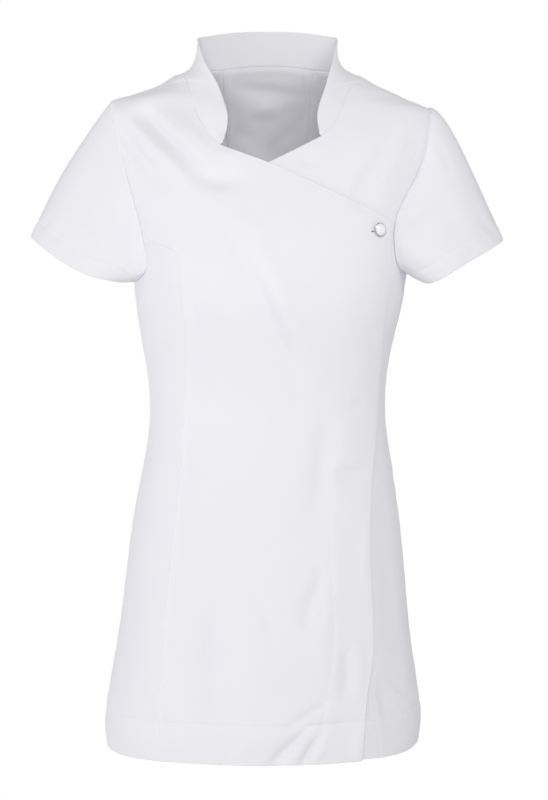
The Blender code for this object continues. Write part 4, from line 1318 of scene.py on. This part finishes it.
def stitch_line(outer, outward, away, distance):
    """Thread along the line at this distance from an edge, one short bead a stitch."""
    sign = 1 if away[-1, 0] > away[0, 0] else -1
    row = np.array([np.interp(sign * distance, sign * column, np.arange(len(away))) for column in away.T])
    low = np.clip(row.astype(int), 0, len(away) - 2)
    share, columns = (row - low)[:, None], np.arange(len(row))
    line, upward = (
        grid[low, columns] * (1 - share) + grid[low + 1, columns] * share for grid in (outer, outward)
    )
    place = run_length(line)
    for start in np.arange(STITCH_GAP, place[-1] - STITCH_LENGTH, STITCH_LENGTH + STITCH_GAP):
        rings = []
        for part, radius, sink in STITCH_PROFILE:
            at = start + STITCH_LENGTH * part
            centre, normal = between(place, at, line), unit(between(place, at, upward))
            along = unit(between(place, at + STITCH_GAP, line) - centre)
            around = spokes(STITCH_SIDES, np.cross(along, normal), normal)
            rings.append(centre + normal * sink + around * radius)
        THREADS.append(np.array(rings))


def make_stitches():
    faces, first = [], 0
    for rings in THREADS:
        faces += tube_faces(*rings.shape[:2], first)
        first += rings.shape[0] * rings.shape[1]
    finish_piece("stitches", np.concatenate([rings.reshape(-1, 3) for rings in THREADS]), faces, THREAD)


def make_front_right():
    """The upper front, which wraps across to the wearer's left, and the placket under its edge."""
    first = joined(EDGES["front_princess", "right"], EDGES["scye_high", "right"])
    last = joined(EDGES["wrap_edge"], EDGES["wrap_top"], EDGES["neck_front", "right"])
    grid = panel_grid(first, last, WRAP_COLUMNS, PLACKET_LADDER)
    points = body(grid[..., 0], grid[..., 1])
    from_edge = distances(points, 1)[1]
    above = grid[:, -1, 1] - WRAP_EDGE[-1][0]
    lift = wrap_lift(points, from_edge, ease(0.5 - above / PLACKET_FADE)[:, None])
    low = len(EDGES["wrap_edge"])
    on_neck = np.arange(len(first)) >= low + len(EDGES["wrap_top"]) - 2
    # Painted highlight along the wrap's edge and diagonal top, from a set height up, not on the neck
    edge_highlight = ~on_neck * EDGE_HIGHLIGHT * ease((grid[:, -1, 1] - HIGHLIGHT_FROM) / HIGHLIGHT_OVER)
    outer, directions, from_last = panel(
        "front_right", grid, True, on_neck, True, lift, ridges=["first"], highlight_last=edge_highlight
    )
    outer, directions = outer.transpose(1, 0, 2)[:, :low], directions.transpose(1, 0, 2)[:, :low]
    stitch_line(outer, directions, from_last[:low].T, PLACKET_STITCH)

    start = int(np.argmax(from_edge[:low] < PLACKET_WIDTH, axis=1).max())
    placket = grid[:low, start:]
    middle = placket.mean(axis=1, keepdims=True)
    placket = middle + (placket - middle) * PLACKET_SHARE
    top = placket[-1, :, 1] - PLACKET_BELOW_CORNER
    placket[:, :, 1] = np.clip(placket[:, :, 1], HEM + PLACKET_ABOVE_HEM, top)
    keep = np.ones(low, bool)
    keep[1:] = np.diff(placket[:, 0, 1]) > 0
    lift = lift[:low, start:] - PLACKET_DROP
    panel("placket", placket[keep], False, False, False, lift[keep], stitched=False)


def make_front_left():
    """The under front, with its hidden edge behind the upper one."""
    first = joined(EDGES["under_edge"], EDGES["under_top"], EDGES["neck_front", "left"])
    last = joined(EDGES["front_princess", "left"], EDGES["scye_high", "left"])
    on_neck = np.arange(len(first)) >= len(EDGES["under_edge"]) + len(EDGES["under_top"]) - 2
    panel("front_left", panel_grid(first, last, UNDER_COLUMNS), on_neck, True, True, under=True)


def make_side_fronts():
    for name in ("right", "left"):
        first, last = EDGES["side", name], EDGES["front_princess", name]
        grid = panel_grid(first, last, SIDE_COLUMNS, top=EDGES["scye_low", name])
        if name == "left":
            grid = grid[:, ::-1]
        panel(f"side_front_{name}", grid, True, True, True, under=name == "left")


def make_backs():
    right, left = EDGES["back_princess", "right"] + [2 * math.pi, 0], EDGES["back_princess", "left"]
    grid = panel_grid(left, right, BACK_COLUMNS, top=nape_row(NAPE_COLUMNS))
    panel("back_centre", grid, True, True, True, ridges=["first", "last"])
    for name in ("right", "left"):
        inner = joined(EDGES["back_princess", name], EDGES["neck_back", name][::-1])
        outer = joined(EDGES["side", name], EDGES["scye_back", name])
        panel(f"side_back_{name}", panel_grid(inner, outer, SIDE_BACK_COLUMNS), True, True, True)


def make_sleeves():
    for index, name in enumerate(("right", "left")):
        run, share = armhole(name)
        straight = np.linalg.norm(sleeve_point(name, run, share, 1.0) - body(*run.T), axis=-1)
        t = ladder(straight, NEAR_EDGE, CUFF_LADDER, SLEEVE_ROWS).T
        rings = sleeve_point(name, run, share, t)
        around = np.roll(rings, -1, axis=1) - np.roll(rings, 1, axis=1)
        flip = 1 if name == "left" else -1
        outward = unit(np.cross(np.gradient(rings, axis=0), around)) * flip
        outward += (MITRES[index][1] - outward[0])[None] * bell(t * straight / MITRE_FADE)[..., None]
        from_seam, from_cuff = distances(rings, 0)
        around_first, around_last = distances(np.concatenate([rings, rings[:, :1]], axis=1), 1)
        underarm = np.minimum(around_first, around_last)[:, :-1]
        sewn = np.minimum(from_seam, underarm)
        hem_line = rings[-1:] + unit(around) * from_cuff[..., None] * ROPING_SKEW
        pucker = puckers(rings[:1], from_seam)
        outer, inner = dress(rings, outward, sewn, from_cuff, from_cuff, CUFF_DEPTH, hem_line, pucker)
        uv = np.stack([around_first[:, :-1], from_seam], axis=-1)
        sheet(f"sleeve_{name}", outer, inner, uv, closed=True)
        stitch_line(outer, outward, from_cuff, CUFF_DEPTH)


def make_collar():
    """The stand collar, from its right end round the back to its left end."""
    _, base, share = neck_run()
    top = collar_edge(share)
    t = ladder(np.linalg.norm(top - base, axis=-1), NEAR_EDGE, NEAR_EDGE, COLLAR_ROWS).T[..., None]
    rings = base + (top - base) * t
    outward = unit(np.cross(np.gradient(rings, axis=0), np.gradient(rings, axis=1)))
    rings = rings + outward * 4 * t * (1 - t) * COLLAR_BOW
    from_seam, from_edge = distances(rings, 0)
    outward += (MITRES[2][1] - outward[0])[None] * bell(from_seam / MITRE_FADE)[..., None]
    from_start, from_end = distances(rings, 1)
    free = np.minimum(from_edge, np.minimum(from_start, from_end))
    shape = creases(rings, -unit(outward)[..., 1])
    shape += COLLAR_SOFT * ripple(rings, SOFT_LENGTH, 5) * ease(free / UNEVEN_FADE)
    shape += puckers(base[None], from_seam)
    cut, seam = rounding(free, COLLAR_CLOTH / 2), bell(from_seam / SEAM_WIDTH)
    outer = rings + outward * (shape - SEAM_DIP * seam - cut)[..., None]
    inner = rings + outward * (shape + INNER_DIP * seam + cut - COLLAR_CLOTH)[..., None]
    sheet("collar", outer, inner, np.stack([from_start, from_seam], axis=-1))


def button_place():
    """Foot of the button on the wrap's top corner, and the three directions it is built along."""
    angle = angle_at(BUTTON_X, BUTTON_HEIGHT)
    normal = normals(body, angle, np.asarray(BUTTON_HEIGHT))
    foot = body(angle, BUTTON_HEIGHT) + normal * (LAYER + PLACKET_LAYER + BUTTON_LIFT)
    aside = unit(np.cross([0.0, 0.0, 1.0], normal))
    return foot, aside, np.cross(normal, aside), normal


def make_button():
    """The button's metal rim and pearl cap, each turned about its axis."""
    foot, aside, upright, normal = button_place()
    around = spokes(BUTTON_TURNS, aside, upright)
    for name, profile, finish in (("button_rim", RIM_PROFILE, METAL), ("button_cap", CAP_PROFILE, PEARL)):
        verts = np.concatenate([foot + around * radius + normal * height for radius, height in profile])
        finish_piece(name, verts, tube_faces(len(profile), BUTTON_TURNS), finish, "button")


def make_buttonhole():
    """End of the buttonhole, which shows beside the button: thread sewn round a slit, and in the slit a
    dark sheet of painted shade on the cloth.
    """
    foot, aside, upright, normal = button_place()
    middle = foot - aside * HOLE_AWAY - upright * HOLE_DROP
    thread, slit = (
        np.array([
            middle + normal * height
            + spokes(BUTTON_TURNS, aside * (HOLE_LENGTH / 2 + reach), upright * (HOLE_WIDTH / 2 + reach))
            for reach, height in profile
        ])
        for profile in (HOLE_THREAD_PROFILE, SLIT_PROFILE)
    )
    THREADS.append(thread)
    finish_piece("buttonhole_shade_sheet", np.concatenate(slit), tube_faces(len(slit), BUTTON_TURNS), SLIT_SHADE)


def aim(thing, place, target):
    thing.location = place
    thing.rotation_euler = (Vector(target) - Vector(place)).to_track_quat("-Z", "Y").to_euler()


def make_floor():
    """A pale round floor below the garment that fades into the white around it."""
    square = ((-1, -1), (1, -1), (1, 1), (-1, 1))
    corners = [(x * FLOOR_HALF, y * FLOOR_HALF, FLOOR_HEIGHT) for x, y in square]
    mesh = bpy.data.meshes.new("floor")
    mesh.from_pydata(corners, [], [(0, 1, 2, 3)])
    made, tree, shader = build_material("pale_floor", (0.86, 0.86, 0.86), 0.9, 0.0)
    where = add_node(tree, "TexCoord").outputs["Object"]
    away = add_node(tree, "VectorMath", {0: where}, operation="LENGTH").outputs["Value"]
    edge = {"Value": away, "From Min": FLOOR_FADE_FROM, "From Max": FLOOR_FADE_TO}
    fade = add_node(tree, "MapRange", edge, interpolation_type="SMOOTHSTEP").outputs["Result"]
    clear = add_node(tree, "BsdfTransparent").outputs["BSDF"]
    mix = add_node(tree, "MixShader", {"Fac": fade, 1: shader.outputs["BSDF"], 2: clear})
    feed(tree, tree.nodes["Material Output"], {"Surface": mix.outputs["Shader"]})
    mesh.materials.append(made)
    floor = bpy.data.objects.new("floor", mesh)
    bpy.context.scene.collection.objects.link(floor)


def make_world():
    """White all round as the camera sees it, and softer light from three sides on the cloth."""
    world = bpy.data.worlds.new("studio")
    bpy.context.scene.world = world
    world.use_nodes = True
    tree = world.node_tree
    where = add_node(tree, "TexCoord").outputs["Generated"]
    axes = add_node(tree, "SeparateXYZ", {"Vector": where})
    total = 0.0
    for axis, reach, strength in WORLD_LIGHT:
        side = {"Value": axes.outputs[axis], "From Min": 0.0, "From Max": reach, "To Max": strength}
        lobe = add_node(tree, "MapRange", side).outputs["Result"]
        total = add_node(tree, "Math", {0: total, 1: lobe}, operation="ADD").outputs[0]
    soft = tree.nodes["Background"]
    feed(tree, soft, {"Color": (*WORLD_COLOUR, 1.0), "Strength": total})
    white = add_node(tree, "Background", {"Color": (1.0, 1.0, 1.0, 1.0), "Strength": 1.0})
    seen = add_node(tree, "LightPath").outputs["Is Camera Ray"]
    sides = {"Fac": seen, 1: soft.outputs["Background"], 2: white.outputs["Background"]}
    mix = add_node(tree, "MixShader", sides)
    feed(tree, tree.nodes["World Output"], {"Surface": mix.outputs["Shader"]})


def make_lights():
    for name, place, size, power in LIGHTS:
        data = bpy.data.lights.new(name, "AREA")
        data.shape = "DISK"
        data.size = size
        data.energy = power
        light = bpy.data.objects.new(name, data)
        bpy.context.scene.collection.objects.link(light)
        aim(light, place, LIGHT_TARGET)


def make_camera():
    """The camera stands level in front of the garment, at the photograph's distance and framing."""
    data = bpy.data.cameras.new("camera")
    data.lens = CAMERA_LENS
    data.sensor_width = CAMERA_SENSOR
    camera = bpy.data.objects.new("camera", data)
    bpy.context.scene.collection.objects.link(camera)
    aim(camera, CAMERA_PLACE, (CAMERA_PLACE[0], 0.0, CAMERA_PLACE[2]))
    bpy.context.scene.camera = camera


NAPE_WIDTH = row_lengths(
    EDGES["back_princess", "left"][-1:], EDGES["back_princess", "right"][-1:] + [2 * math.pi, 0]
)[0]
NAPE_COLUMNS = ladder(NAPE_WIDTH, NEAR_EDGE, NEAR_EDGE, BACK_COLUMNS)
MITRES = [armhole_mitre("right"), armhole_mitre("left"), neck_mitre()]
WHITE_CLOTH = cloth_material()
PEARL = pearl_material()
METAL = metal_material()
THREAD = thread_material()
# Painted shade for the buttonhole's gap
SLIT_SHADE = slit_shade_material()

make_camera()
make_world()
make_lights()
make_floor()
bpy.context.scene.view_settings.view_transform = "Standard"

make_front_right()
make_front_left()
make_side_fronts()
make_backs()
make_sleeves()
make_collar()
make_buttonhole()
make_stitches()
make_button()
